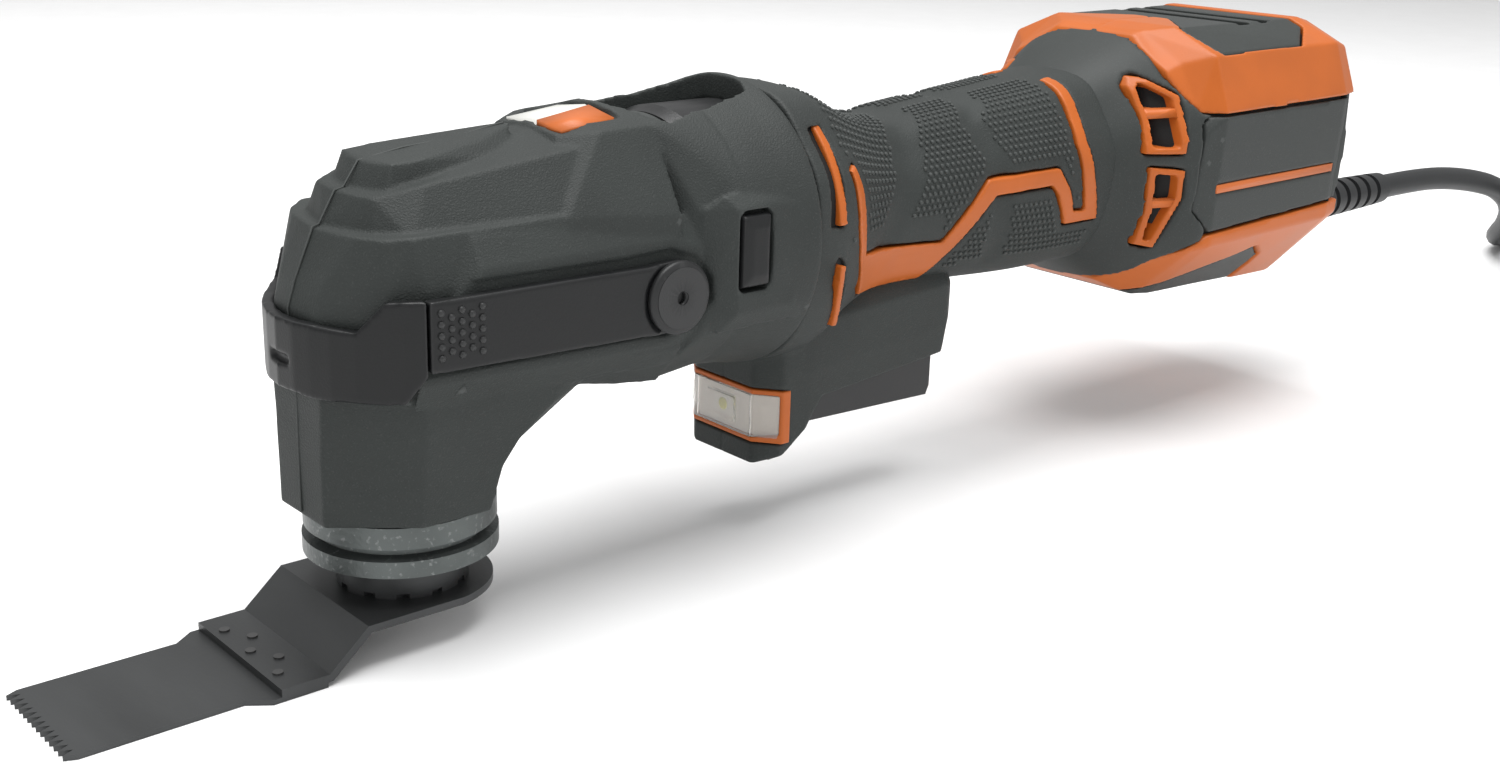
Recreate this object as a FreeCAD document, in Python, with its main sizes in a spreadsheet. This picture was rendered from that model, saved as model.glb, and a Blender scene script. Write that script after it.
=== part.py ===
import FreeCAD, Part
import math
import os
import Sketcher

# Corded oscillating multi tool with a detachable head.  Millimetres.
# +X runs along the handle towards the cord, +Z up along the spindle, +Y to the tool's left.
# The origin is on the spindle's axis, in the face that an accessory is clamped against.

Vector = FreeCAD.Vector
SIZES = {
    "axis_height": 61.1,        # motor's axis above the accessory seat
    "floor_level": -9.7,        # underside of the saw blade
    "wall": 2.4,                # moulded casings
    "skin": 1.8,                # rubber or coloured layer over a casing
    "fit_gap": 0.05,            # radial clearance of a running fit
    "swing_play": 0.87,         # how far the fork's arms swing each way
    "throw": 0.85,              # eccentric's offset
    # saw blade and its holder
    "blade_tip": -72.6,
    "tooth_depth": 2.2,
    "blade_half": 14.3,
    "shoulder_x": -40.8,
    "holder_front": -35.0,
    "holder_half": 17.3,
    "blade_thick": 1.0,
    "holder_thick": 1.5,
    "low_bend_x": -24.9,
    "high_bend_x": -16.7,
    "hub_radius": 17.6,
    "pin_circle": 10.0,
    "pin_radius": 1.1,
    # spindle and clamp
    "rod_radius": 2.5,
    "rod_top": 75.2,
    "foot_radius": 8.4,
    "foot_thick": 2.0,
    "flange_radius": 12.8,
    "collar_base": 7.0,
    "collar_radius": 18.9,
    "spindle_radius": 6.5,
    "spindle_foot_radius": 8.0,
    "spindle_neck_radius": 5.4,
    "spindle_top": 70.6,
    "spring_floor": 50.0,       # where the clamp spring stands inside the spindle
    "spring_way": 4.2,
    "low_race_radius": 12.0,
    "top_race_radius": 9.0,
    # gear case
    "tower_radius": 14.6,
    "tower_top": 71.5,
    "barrel_half": 16.7,
    "barrel_wall": 1.8,
    "barrel_low": -12.0,        # from the motor's axis
    "barrel_high": 10.9,
    "barrel_end": 50.0,
    # drive
    "drive_radius": 4.5,
    "journal_front": 20.0,
    "journal_length": 7.0,
    "cam_race_radius": 8.5,
    "weight_radius": 9.5,
    "coupling_radius": 9.0,
    "coupling_front": 73.0,
    "shaft_radius": 4.0,
    # head
    "neck_base": 17.2,
    "lever_x": 47.2,
    "lever_drop": -6.4,         # lever's pivot below the motor's axis
    "lever_inner": 24.5,
    "lever_thick": 2.7,
    "button_x": 64.7,
    "collar_front": 70.0,
    "rim_x": 81.6,
    "rim_radius": 31.4,
    "spigot_radius": 26.0,
    "spigot_front": 59.5,
    "spigot_end": 91.0,
    # handle
    "grip_front": 104.0,
    "grip_end": 187.0,
    "trigger_front": 97.0,
    "trigger_end": 141.0,
    "trigger_half": 9.0,
    # motor
    "nose_bearing": 93.5,
    "front_bearing": 188.5,
    "rear_bearing": 261.0,
    "race_radius": 10.0,
    "race_length": 5.0,
    "armature_radius": 17.5,
    "stator_radius": 27.0,
    "stack_front": 210.0,
    "stack_length": 32.0,
    "fan_radius": 25.0,
    # rear body
    "shoulder_end": 208.0,
    "guard_end": 270.0,
    "body_end": 288.0,
    "panel_low": -12.1,
    "panel_high": 17.4,
    "vent_half": 12.5,
    # cord
    "cord_radius": 3.85,
    "boot_height": 36.5,
    "boss_end": 303.0,
    "boot_end": 362.7,
    "coil_x": 551.0,
    "coil_y": -20.2,
    "coil_mean": 40.0,
    "coil_columns": 3,
    "coil_layers": 4,
    "tie_width": 14.0,
    "tie_thick": 1.0,
    "plug_length": 30.0,
    "plug_half": 12.5,
    "plug_thick": 17.0,
}

# Half outlines across the tool, from the bottom to the top, measured from the motor's axis.
HEAD_SECTIONS = {
    -20.8: [(7, -20.6), (8.5, -19), (8.5, -6), (8, -4.5), (6, -3.6)],
    -17.5: [(10, -21), (14, -19), (14, -3), (12.5, 1), (9, 5)],
    -12: [(13, -21), (19, -19), (19, 1), (16, 9), (11, 13.7)],
    -6: [(16, -21), (22, -19), (22, 3), (18, 15), (12, 20.9)],
    3: [(18, -21), (23.6, -18), (23.6, 5), (20.5, 14.5), (13, 22.9)],
    30: [(18, -26), (24, -19), (24, 7), (21.5, 16), (13, 25.9)],
    55: [(16, -27.8), (24, -18), (24, 9), (21.5, 18), (14, 28.4)],
    60: [(17, -28.2), (28.6, -14), (29, 10), (24, 20), (15, 28.8)],
    70: [(18, -28.8), (29.5, -13), (29.8, 11), (24, 21), (16, 29.4)],
}
NECK_SECTIONS = {
    17.2: [(-20.7, 8.5), (-6.5, 19.5), (8, 19.5), (17.5, 7)],
    42: [(-20.7, 8.5), (-6, 21.5), (19, 21.5), (30, 11)],
}
HANDLE_SECTIONS = {
    82.2: [(13, -28.8), (26, -15), (29.3, 8), (23, 20), (12, 28.8)],
    92: [(13, -28), (25.6, -14.5), (28.6, 8), (22, 19.5), (12, 27.8)],
    104: [(11, -23), (20.5, -12), (23, 6), (18.5, 16), (10, 22.5)],
    114: [(10, -19.8), (18, -10.5), (20.2, 4), (16.3, 13), (9, 19.4)],
    124: [(10, -19), (17.5, -10), (19.8, 4), (16, 12.5), (8.5, 18.9)],
    147: [(10, -20.5), (18.5, -11), (21, 4), (17, 13.5), (9, 20.7)],
    166: [(10, -21.5), (19.5, -12), (22, 4), (18, 14.5), (9.5, 22.4)],
    187: [(10, -21.5), (20, -12), (23.5, 5), (19, 16), (10, 24.6)],
}
POD_SECTIONS = {
    82.6: [(7.5, -53.9), (9.5, -52), (9.5, -33), (9, -22), (6, -16)],
    88: [(10, -54.5), (14.5, -52), (15.5, -33), (15.5, -22), (10, -14)],
    95: [(9.5, -50), (14.5, -47), (16, -33), (16, -22), (10, -14)],
    99: [(9, -42.5), (15, -40), (16, -33), (16, -22), (10, -14)],
    141: [(9, -41), (14.5, -38.5), (15.5, -30), (15.5, -20), (10, -12)],
    156: [(8, -34), (12, -32), (13, -26), (13, -18), (9, -12)],
}
BODY_SECTIONS = {
    187: [(10, -21.5), (20, -12), (23.5, 5), (19, 16), (10, 24.6)],
    197: [(14, -28), (27, -17), (30, 8), (24, 22), (13, 30)],
    208: [(18, -33), (34, -18), (35.5, 12), (29, 27), (17, 35.5)],
    214: [(19, -33.5), (36, -17), (37.4, 16), (32, 30.5), (19, 36.3)],
    268: [(20, -34.5), (36.3, -16), (38, 17), (33, 31), (20, 36.5)],
    288: [(13, -29), (26, -14), (27.5, 13), (22, 25), (13, 30)],
}

# The free cord's route from the boot to the coil, on a level with the blade at its end.
CORD_ROUTE = [
    (362.7, 0, 36.5), (383, 0, 36.5), (404, 0, 35.4), (427, 0, 32.2), (449.5, 0, 27.2),
    (469, 2.5, 18.2), (486, 10.3, 7.3), (503.5, 22.3, -2.4), (522, 27.5, -5.85),
    (541, 27.3, -5.85),
]
# The cord's end, from the coil's top turns down to the plug beside it.
PLUG_ROUTE = [
    (516.4, -0.2, 17.3), (525, 11.9, 17.4), (537.2, 22.1, 17.6), (552.3, 28.8, 17.2),
    (568.6, 30.9, 14.9), (584.2, 28.1, 10.6), (598.2, 20.9, 5.6), (609.7, 10.4, 1.2),
    (618.5, -1.5, -1.2), (624.5, -11.8, -1.2),
]
PLUG_END, PLUG_BEFORE = PLUG_ROUTE[-1], PLUG_ROUTE[-2]
PLUG_TURN = math.degrees(math.atan2(PLUG_END[1] - PLUG_BEFORE[1], PLUG_END[0] - PLUG_BEFORE[0]))
PLUG_NOSE = 12
PLUG_SPOT = (
    PLUG_END[0] + PLUG_NOSE * math.cos(math.radians(PLUG_TURN)),
    PLUG_END[1] + PLUG_NOSE * math.sin(math.radians(PLUG_TURN)),
    "sizes.floor_level + sizes.plug_thick / 2",
)

document = FreeCAD.newDocument("oscillating_multi_tool")
sizes = document.addObject("Spreadsheet::Sheet", "sizes")
for row, (alias, number) in enumerate(SIZES.items(), start=1):
    sizes.set(f"A{row}", alias)
    sizes.set(f"B{row}", str(number))
    sizes.setAlias(f"B{row}", alias)
document.recompute()

nodes = {}


def value(amount):
    """The number that an expression on the sheet stands for, or the number itself."""
    if not isinstance(amount, str):
        return float(amount)
    result = sizes.evalExpression(amount.replace("sizes.", ""))
    return float(getattr(result, "Value", result))


def bind(thing, attribute, amount):
    """Set one property, tied to the sheet where the amount is an expression."""
    if isinstance(amount, str):
        thing.setExpression(attribute, amount)
    else:
        target = thing
        names = attribute.split(".")
        for name in names[:-1]:
            target = getattr(target, name)
        setattr(target, names[-1], amount)


def place(thing, x=0, y=0, z=0):
    thing.Placement.Base = Vector(value(x), value(y), value(z))
    for axis, amount in (("x", x), ("y", y), ("z", z)):
        if isinstance(amount, str):
            thing.setExpression(f"Placement.Base.{axis}", amount)
    return thing


def node(label, thing):
    thing.Label = label
    nodes[label] = thing
    return thing


def add(kind, name):
    return document.addObject(kind, name)


def cylinder(name, radius, height, at, along="Z"):
    thing = add("Part::Cylinder", name)
    bind(thing, "Radius", radius)
    bind(thing, "Height", height)
    turn = {"X": (Vector(0, 1, 0), 90), "Y": (Vector(1, 0, 0), -90), "Z": (Vector(0, 0, 1), 0)}
    thing.Placement.Rotation = FreeCAD.Rotation(*turn[along])
    return place(thing, *at)


def box(name, low, high):
    """A box between two corners, whose coordinates may be expressions."""
    thing = add("Part::Box", name)
    for side, small, large in zip(("Length", "Width", "Height"), low, high):
        if isinstance(small, str) or isinstance(large, str):
            thing.setExpression(side, f"({large}) - ({small})")
        else:
            setattr(thing, side, large - small)
    return place(thing, *low)


def join(name, *parts):
    if len(parts) == 1:
        return parts[0]
    thing = add("Part::MultiFuse", name)
    thing.Shapes = list(parts)
    return thing


def cut(name, base, *tools):
    tool = tools[0] if len(tools) == 1 else join(f"{name}_tools", *tools)
    thing = add("Part::Cut", name)
    thing.Base = base
    thing.Tool = tool
    return thing


def common(name, one, other):
    thing = add("Part::Common", name)
    thing.Base = one
    thing.Tool = other
    return thing


def group(name, *parts):
    thing = add("Part::Compound", name)
    thing.Links = list(parts)
    return thing


def mirror(name, source):
    """The same piece on the tool's other side."""
    thing = add("Part::Mirroring", name)
    thing.Source = source
    thing.Normal = Vector(0, 1, 0)
    return thing


def outline(sketch, corners):
    """A closed outline of straight lines, each corner held by two dimensions."""
    points = [Vector(value(x), value(y), 0) for x, y in corners]
    count = len(points)
    for index in range(count):
        sketch.addGeometry(Part.LineSegment(points[index], points[(index + 1) % count]), False)
    for index in range(count):
        joint = Sketcher.Constraint("Coincident", index, 2, (index + 1) % count, 1)
        sketch.addConstraint(joint)
    for index, corner in enumerate(corners):
        for kind, amount in zip(("DistanceX", "DistanceY"), corner):
            if not isinstance(amount, str):
                continue
            number = value(amount)
            dimension = Sketcher.Constraint(kind, -1, 1, index, 1, number)
            where = sketch.addConstraint(dimension)
            sketch.setExpression(f"Constraints[{where}]", amount)


def sketch_on(body, plane, name, offset=0):
    """A sketch on one of the body's own planes, or parallel to it."""
    sketch = body.newObject("Sketcher::SketchObject", name)
    support = [part for part in body.Origin.OriginFeatures if part.Role == plane]
    sketch.AttachmentSupport = [(support[0], "")]
    sketch.MapMode = "FlatFace"
    sketch.AttachmentOffset.Base.z = value(offset)
    if isinstance(offset, str):
        sketch.setExpression("AttachmentOffset.Base.z", offset)
    return sketch


def turned(name, profile, along="Z", at=(0, 0, 0)):
    """A turned piece.  The profile is (radius, z) about Z, or (x, radius) about X."""
    body = add("PartDesign::Body", name)
    sketch = sketch_on(body, "XZ_Plane", f"{name}_profile")
    outline(sketch, profile)
    spin = body.newObject("PartDesign::Revolution", f"{name}_turn")
    spin.Profile = sketch
    spin.ReferenceAxis = (sketch, ["V_Axis" if along == "Z" else "H_Axis"])
    spin.Angle = 360
    return place(body, *at)


def plate(name, plane, corners, start, length, at=(0, 0, 0)):
    """An outline padded along its plane's normal, from start, or about it if start is None."""
    body = add("PartDesign::Body", name)
    sketch = sketch_on(body, plane, f"{name}_outline", 0 if start is None else start)
    outline(sketch, corners)
    pad = body.newObject("PartDesign::Pad", f"{name}_pad")
    pad.Profile = sketch
    bind(pad, "Length", length)
    pad.Midplane = start is None
    return place(body, *at)


def resized(section, grow):
    """The same half outline, larger or smaller by about the given thickness."""
    half = max(y for y, _ in section)
    low, high = section[0][1], section[-1][1]
    middle, reach = (low + high) / 2, (high - low) / 2
    return [(y * (half + grow) / half, middle + (z - middle) * (reach + grow) / reach)
            for y, z in section]


def lofted(name, sections, grow=0, first=None, last=None):
    """A casing's outer or inner form through half outlines across the tool."""
    body = add("PartDesign::Body", name)
    places = sorted(sections)
    sketches = []
    for index, x in enumerate(places):
        half = resized(sections[x], grow)
        where = x
        if index == 0 and first is not None:
            where = first
        if index == len(places) - 1 and last is not None:
            where = last
        sketch = sketch_on(body, "YZ_Plane", f"{name}_{index}", where)
        outline(sketch, half + [(-y, z) for y, z in reversed(half)])
        sketches.append(sketch)
    loft = body.newObject("PartDesign::AdditiveLoft", f"{name}_loft")
    loft.Profile = sketches[0]
    loft.Sections = sketches[1:]
    loft.Ruled = True
    return place(body, z="sizes.axis_height")


def upright(name, sections, grow=0, first=None, last=None):
    """The neck's outer or inner form through plan outlines."""
    body = add("PartDesign::Body", name)
    sketches = []
    for index, z in enumerate(sorted(sections)):
        half = [(x + math.copysign(-grow, -x), y + grow) for x, y in sections[z]]
        where = (first, last)[index] if (first, last)[index] is not None else z
        sketch = sketch_on(body, "XY_Plane", f"{name}_{index}", where)
        outline(sketch, half + [(x, -y) for x, y in reversed(half)])
        sketches.append(sketch)
    loft = body.newObject("PartDesign::AdditiveLoft", f"{name}_loft")
    loft.Profile = sketches[0]
    loft.Sections = sketches[1:]
    loft.Ruled = True
    return body


def split(name, whole):
    """The left and right halves of a casing, as two nodes."""
    reach = 400
    left = box(f"{name}_left_side", (-reach, 0.02, -reach), (reach * 2, reach, reach))
    right = box(f"{name}_right_side", (-reach, -reach, -reach), (reach * 2, -0.02, reach))
    node(f"{name}_left", common(f"{name}_left_half", whole, left))
    node(f"{name}_right", common(f"{name}_right_half", whole, right))


def ring(name, outer, inner, start, length, along="Z", at=(0, 0)):
    """A plain ring about Z or X: outer and inner radius, where it starts and its length."""
    if along == "Z":
        base = (at[0], at[1], start)
    else:
        base = (start, at[0], at[1])
    rim = cylinder(f"{name}_rim", outer, length, base, along)
    bore = cylinder(f"{name}_bore", inner, length, base, along)
    return cut(name, rim, bore)


AXIS = "sizes.axis_height"
LENS_BACK = 84.2


def bearing(name, bore, outside, start, length, along="Z", height=0):
    """A ball bearing: two races and a ring of balls, each a solid of its own."""
    inner, outer = value(bore), value(outside)
    middle = (inner + outer) / 2
    ball = (outer - inner) * 0.24
    lip = (outer - inner) * 0.22
    at = (0, 0) if along == "Z" else (0, height)
    small = ring(f"{name}_inner_race", inner + lip, bore, start, length, along, at)
    large = ring(f"{name}_outer_race", outside, outer - lip, start, length, along, at)
    balls = []
    count = int(2 * math.pi * middle / (2.5 * ball))
    for index in range(count):
        angle = 2 * math.pi * index / count
        across, up = middle * math.cos(angle), middle * math.sin(angle)
        thing = add("Part::Sphere", f"{name}_ball_{index}")
        thing.Radius = ball
        along_it = value(start) + value(length) / 2
        spot = (across, up, along_it) if along == "Z" else (along_it, across, up + value(height))
        balls.append(place(thing, *spot))
    return group(f"{name}_parts", small, large, *balls)


# ---------------------------------------------------------------- accessory

def saw_blade():
    """Flat blade with a straight row of teeth across its tip."""
    teeth = 14
    half, tip, depth = value("sizes.blade_half"), value("sizes.blade_tip"), value("sizes.tooth_depth")
    pitch = 2 * half / teeth
    edge = []
    for index in range(teeth):
        low = -half + index * pitch
        edge.append((tip + depth, low))
        edge.append((tip, low + pitch * 0.5))
    edge.append((tip + depth, half))
    root = [
        ("sizes.shoulder_x", "sizes.blade_half"),
        ("sizes.shoulder_x + 4.1", "sizes.holder_half"),
        ("sizes.low_bend_x - 1", "sizes.holder_half"),
        ("sizes.low_bend_x - 1", "-sizes.holder_half"),
        ("sizes.shoulder_x + 4.1", "-sizes.holder_half"),
        ("sizes.shoulder_x", "-sizes.blade_half"),
    ]
    blade = plate("blade", "XY_Plane", edge + root, "sizes.floor_level", "sizes.blade_thick")
    node("saw_blade", blade)


def blade_holder():
    """Cranked strap from the blade up to the round hub, with holes for the flange's pins."""
    low = "(sizes.floor_level + sizes.blade_thick)"
    side = [
        ("sizes.holder_front", low),
        ("sizes.low_bend_x", low),
        ("sizes.high_bend_x", "-sizes.holder_thick"),
        (20, "-sizes.holder_thick"),
        (20, 0),
        ("sizes.high_bend_x - 0.6", 0),
        ("sizes.low_bend_x - 0.6", f"{low} + sizes.holder_thick"),
        ("sizes.holder_front", f"{low} + sizes.holder_thick"),
    ]
    strap = plate("strap", "XZ_Plane", side, None, "sizes.holder_half * 2")
    hub = cylinder("hub_plan", "sizes.hub_radius", 14, (0, 0, -12))
    tongue = box("strap_plan", (-40, "-sizes.holder_half", -12), (0, "sizes.holder_half", 2))
    form = common("cranked_form", strap, join("holder_plan", hub, tongue))
    holes = [cylinder("hub_hole", "sizes.rod_radius + 2.5", 4, (0, 0, -3))]
    for index in range(8):
        angle = math.radians(45 * index + 22.5)
        reach = value("sizes.pin_circle")
        spot = (reach * math.cos(angle), reach * math.sin(angle), -3)
        holes.append(cylinder(f"pin_hole_{index}", "sizes.pin_radius + 0.15", 4, spot))
    node("blade_holder", cut("holder", form, *holes))


def blade_rivets():
    """Five small weld heads that hold the blade under its holder."""
    top = "sizes.floor_level + sizes.blade_thick + sizes.holder_thick"
    heads = []
    for index, (x, y) in enumerate([(-32.6, 11), (-29.6, 5.4), (-32.6, 0), (-29.6, -5.4), (-32.6, -11)]):
        heads.append(cylinder(f"rivet_{index}", 1.0, 0.35, (x, y, top)))
    node("blade_rivets", group("rivet_heads", *heads))


# ---------------------------------------------------------------- spindle and clamp

def spindle():
    """Hollow output spindle, stepped for its two bearings."""
    bore = "sizes.rod_radius + 0.3"
    profile = [
        (bore, "sizes.collar_base - 0.5"), ("sizes.spindle_foot_radius", "sizes.collar_base - 0.5"),
        ("sizes.spindle_foot_radius", 19), ("sizes.spindle_radius", 20),
        ("sizes.spindle_radius", 65), ("sizes.spindle_neck_radius", 65.5),
        ("sizes.spindle_neck_radius", "sizes.spindle_top"), ("sizes.spring_way", "sizes.spindle_top"),
        ("sizes.spring_way", "sizes.spring_floor"), (bore, "sizes.spring_floor"),
    ]
    node("spindle", turned("output_spindle", profile))


def accessory_flange():
    """Steel flange with eight pins; its rim is notched all round."""
    top = "sizes.collar_base - 0.5"
    bore = "sizes.rod_radius + 0.3"
    rim = [
        (bore, 2.2), ("sizes.flange_radius - 2.2", 2.2), ("sizes.flange_radius - 2.2", 0),
        ("sizes.flange_radius", 0), ("sizes.flange_radius", 5.2), ("sizes.flange_radius - 1.5", top),
        (bore, top),
    ]
    disc = turned("flange_disc", rim)
    notches = []
    count = 12
    for index in range(count):
        notch = box(f"notch_{index}", (-1.1, -1.1, -1), (1.1, 1.1, 1.0))
        angle = math.radians(360 / count * index)
        reach = value("sizes.flange_radius")
        place(notch, reach * math.cos(angle) - 1.1, reach * math.sin(angle) - 1.1, -1)
        notches.append(notch)
    pins = []
    for index in range(8):
        angle = math.radians(45 * index + 22.5)
        reach = value("sizes.pin_circle")
        spot = (reach * math.cos(angle), reach * math.sin(angle), "-sizes.holder_thick + 0.1")
        pins.append(cylinder(f"pin_{index}", "sizes.pin_radius", "sizes.holder_thick + 3.4", spot))
    pinned = join("pinned_disc", cut("notched_disc", disc, *notches), *pins)
    node("accessory_flange", pinned)


def clamp_rod():
    """Rod through the spindle: its foot holds the accessory up, its cap takes the spring."""
    under = "-sizes.holder_thick - sizes.foot_thick"
    profile = [
        (0, under), ("sizes.foot_radius - 1", under), ("sizes.foot_radius", f"{under} + 0.8"),
        ("sizes.foot_radius", "-sizes.holder_thick"), ("sizes.rod_radius", "-sizes.holder_thick"),
        ("sizes.rod_radius", "sizes.rod_top"), (4.6, "sizes.rod_top"), (4.6, "sizes.rod_top + 1.4"),
        (3.6, "sizes.rod_top + 2"), (0, "sizes.rod_top + 2"),
    ]
    node("clamp_rod", turned("rod", profile))


def spring(name, radius, wire, start, length, turns, at=(0, 0)):
    """A compression spring as a stack of wire rings joined by a helix's worth of turns."""
    helix = Part.makeHelix(value(length) / turns, value(length), radius)
    section = Part.Wire(Part.makeCircle(wire, Vector(radius, 0, 0), Vector(0, 1, 0)))
    coil = Part.Wire(helix.Edges).makePipeShell([section], True, True)
    thing = add("Part::Feature", name)
    thing.Shape = coil
    place(thing, at[0], at[1], start)
    return thing


# ---------------------------------------------------------------- gear case and drive

def gear_case():
    """Cast housing: collar and tower round the spindle, barrel round the eccentric shaft."""
    outer = [
        (0, "sizes.collar_base"), ("sizes.collar_radius", "sizes.collar_base"),
        ("sizes.collar_radius", "sizes.collar_base + 3.3"), (16.6, "sizes.collar_base + 3.9"),
        (16.6, "sizes.collar_base + 5"), (18.6, "sizes.collar_base + 5.6"),
        (18.6, "sizes.neck_base - 0.3"), ("sizes.tower_radius", "sizes.neck_base - 0.2"),
        ("sizes.tower_radius", 56), (12, 57.5), (12, "sizes.tower_top"), (0, "sizes.tower_top"),
    ]
    tower = turned("tower", outer)
    half, low, high = "sizes.barrel_half", f"{AXIS} + sizes.barrel_low", f"{AXIS} + sizes.barrel_high"
    barrel = box("barrel", (2, f"-{half}", low), ("sizes.barrel_end", half, high))
    race = "sizes.low_race_radius + 0.02"
    inner = [
        (0, "sizes.collar_base - 1"), (9.2, "sizes.collar_base - 1"), (9.2, 10), (race, 10), (race, 18),
        (10.6, 18), (10.6, 66), ("sizes.top_race_radius + 0.02", 66),
        ("sizes.top_race_radius + 0.02", 70), (5.9, 70), (5.9, "sizes.tower_top + 1"),
        (0, "sizes.tower_top + 1"),
    ]
    shaft_way = turned("tower_bore", inner)
    wall = "sizes.barrel_wall"
    front = box("fork_room", (6, f"{wall} - {half}", f"{low} + {wall}"), (14, f"{half} - {wall}", 66))
    rear = box("drive_room", (14, f"{wall} - {half}", f"{low} + {wall}"), (
        "sizes.barrel_end - 6", f"{half} - {wall}", f"{high} - 1"))
    seat = cylinder("input_seat", 9.02, 8, ("sizes.barrel_end - 6", 0, AXIS), "X")
    node("gear_case", cut("case", join("case_form", tower, barrel), shaft_way, front, rear, seat))


def fork():
    """Two-armed fork clamped to the spindle; the eccentric swings its arms."""
    inner = "sizes.cam_race_radius + sizes.throw + sizes.swing_play + 0.28"
    outer = f"{inner} + 2.4"
    arms = [
        (8.5, f"-({outer})"), (29, f"-({outer})"), (29, f"-({inner})"), (18.6, f"-({inner})"),
        (16, -4), (16, 4), (18.6, inner), (29, inner), (29, outer), (8.5, outer),
    ]
    web = plate("fork_arms", "XY_Plane", arms, 56.6, 9)
    hub = cylinder("fork_hub", 10.2, 9, (0, 0, 56.6))
    way = cylinder("fork_bore", "sizes.spindle_radius", 20, (0, 0, 50))
    tower = cylinder("fork_limit", 10.2, 20, (0, 0, 50))
    reach = box("fork_reach", (6.5, -20, 50), (40, 20, 70))
    form = common("fork_form", join("fork_blank", web, hub), join("fork_space", tower, reach))
    node("fork", cut("fork_clamp", form, way))


def eccentric_shaft():
    """Drive shaft in the head: its journal runs off centre inside the fork."""
    shaft = cylinder("drive", "sizes.drive_radius", "sizes.coupling_front - 28", (28, 0, AXIS), "X")
    journal = cylinder(
        "journal", "sizes.drive_radius", "sizes.journal_length + 1.5",
        ("sizes.journal_front", 0, "sizes.axis_height + sizes.throw"), "X")
    cheek = cylinder("cheek", 6.4, 1.6, (27.4, 0, AXIS), "X")
    node("eccentric_shaft", join("offset_shaft", shaft, journal, cheek))
    race = ring(
        "cam_ring", "sizes.cam_race_radius", "sizes.drive_radius", "sizes.journal_front + 0.3",
        6.4, "X", (0, "sizes.axis_height + sizes.throw"))
    node("eccentric_bearing", race)


def counterweight():
    """Half disc on the shaft that balances the eccentric."""
    disc = cylinder("weight_disc", "sizes.weight_radius", 6, (31, 0, AXIS), "X")
    lower = box("weight_half", (30, -13, "sizes.axis_height - 13"), (38, 13, "sizes.axis_height + 4.4"))
    way = cylinder("weight_bore", "sizes.drive_radius", 6, (31, 0, AXIS), "X")
    node("counterweight", cut("weight", common("weight_form", disc, lower), way))


def hexagon(across):
    """Corners of a hexagon by its distance across flats."""
    reach = across / math.sqrt(3)
    return [(reach * math.cos(math.radians(60 * k)), reach * math.sin(math.radians(60 * k)))
            for k in range(6)]


def drive_socket():
    """Hexagonal socket on the head's shaft, for the hexagonal end of the motor's shaft."""
    front = "sizes.coupling_front"
    cup = cylinder("cup", "sizes.coupling_radius", 12, (front, 0, AXIS), "X")
    pocket = plate("cup_pocket", "YZ_Plane", hexagon(10.6), f"{front} + 3", 12, (0, 0, AXIS))
    node("drive_socket", cut("socket", cup, pocket))


def release_yoke():
    """Yoke over the gear case: the lever's cams pull it down on the clamp rod's cap."""
    roof = plate("yoke_roof", "XY_Plane", [
        (-4, -4.5), (1, -4.5), (1, -13), (6, -13), (6, 13), (1, 13), (1, 4.5), (-4, 4.5),
    ], "sizes.rod_top + 2.2", 1.5)
    pieces = [roof]
    for side in (-1, 1):
        tag = "left" if side > 0 else "right"
        near, far = sorted((11.4 * side, 13 * side))
        pieces.append(box(f"yoke_rail_{tag}", (1, near, 74.9), (57, far, 77.5)))
        leg = [(11.4, 16.2), (15, 16.2), (20.8, 5), (20.8, -13.8), (19, -13.8), (19, 4), (11.4, 13.6)]
        pieces.append(plate(
            f"yoke_leg_{tag}", "YZ_Plane", [(y * side, z) for y, z in leg], 54.6, 2.4, (0, 0, AXIS)))
        near, far = sorted((19 * side, 20.8 * side))
        pieces.append(box(f"yoke_foot_{tag}", (43, near, 47.3), (57, far, 49.9)))
    node("release_yoke", join("yoke", *pieces))


# ---------------------------------------------------------------- head

def head_shell():
    outer = join("head_form", lofted("head_barrel", HEAD_SECTIONS), upright("head_neck", NECK_SECTIONS))
    inside = join(
        "head_space",
        lofted("head_barrel_space", HEAD_SECTIONS, -value("sizes.wall"), -18.4, 71),
        upright("head_neck_space", NECK_SECTIONS, -value("sizes.wall"), 16, 43))
    pins = cylinder("lever_way", "3 + sizes.fit_gap", 80, (
        "sizes.lever_x", -40, "sizes.axis_height + sizes.lever_drop"), "Y")
    windows = box("button_window", (
        "sizes.button_x - 4.2", -40, "sizes.axis_height - 7.7"), (
        "sizes.button_x + 4.2", 40, "sizes.axis_height + 9"))
    roof = box("roof_window", (57, -9, "sizes.axis_height + 10"), (68, 9, "sizes.axis_height + 40"))
    socket = cylinder("sleeve_seat", "sizes.spigot_radius", 14, ("sizes.spigot_front - 1", 0, AXIS), "X")
    tower = cylinder("tower_way", "sizes.tower_radius", 45, (0, 0, 14))
    label = label_plate()
    screws = node("head_screws", cross_screws("head", [(0, 81.3), (40, 83.5), (30.5, 40), (57.2, 38.5)]))
    split("head_shell", cut("head_casing", outer, inside, pins, windows, roof, socket, tower, label, screws))


def label_plate():
    """Blank rating plate let into the top of the head."""
    blank = box("label_blank", (28, -9, "sizes.axis_height + 20"), (43, 9, "sizes.axis_height + 40"))
    layer = cut(
        "label_layer", lofted("label_top", HEAD_SECTIONS, 0.15), lofted("label_under", HEAD_SECTIONS, -0.7))
    return node("label_plate", common("label", layer, blank))


def cross_screws(name, places):
    """Screws from side to side that hold two half casings together."""
    screws = []
    for index, (x, z) in enumerate(places):
        screws.append(cylinder(f"{name}_screw_{index}", 1.4, 18, (x, -9, z), "Y"))
    return group(f"{name}_fasteners", *screws)


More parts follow.
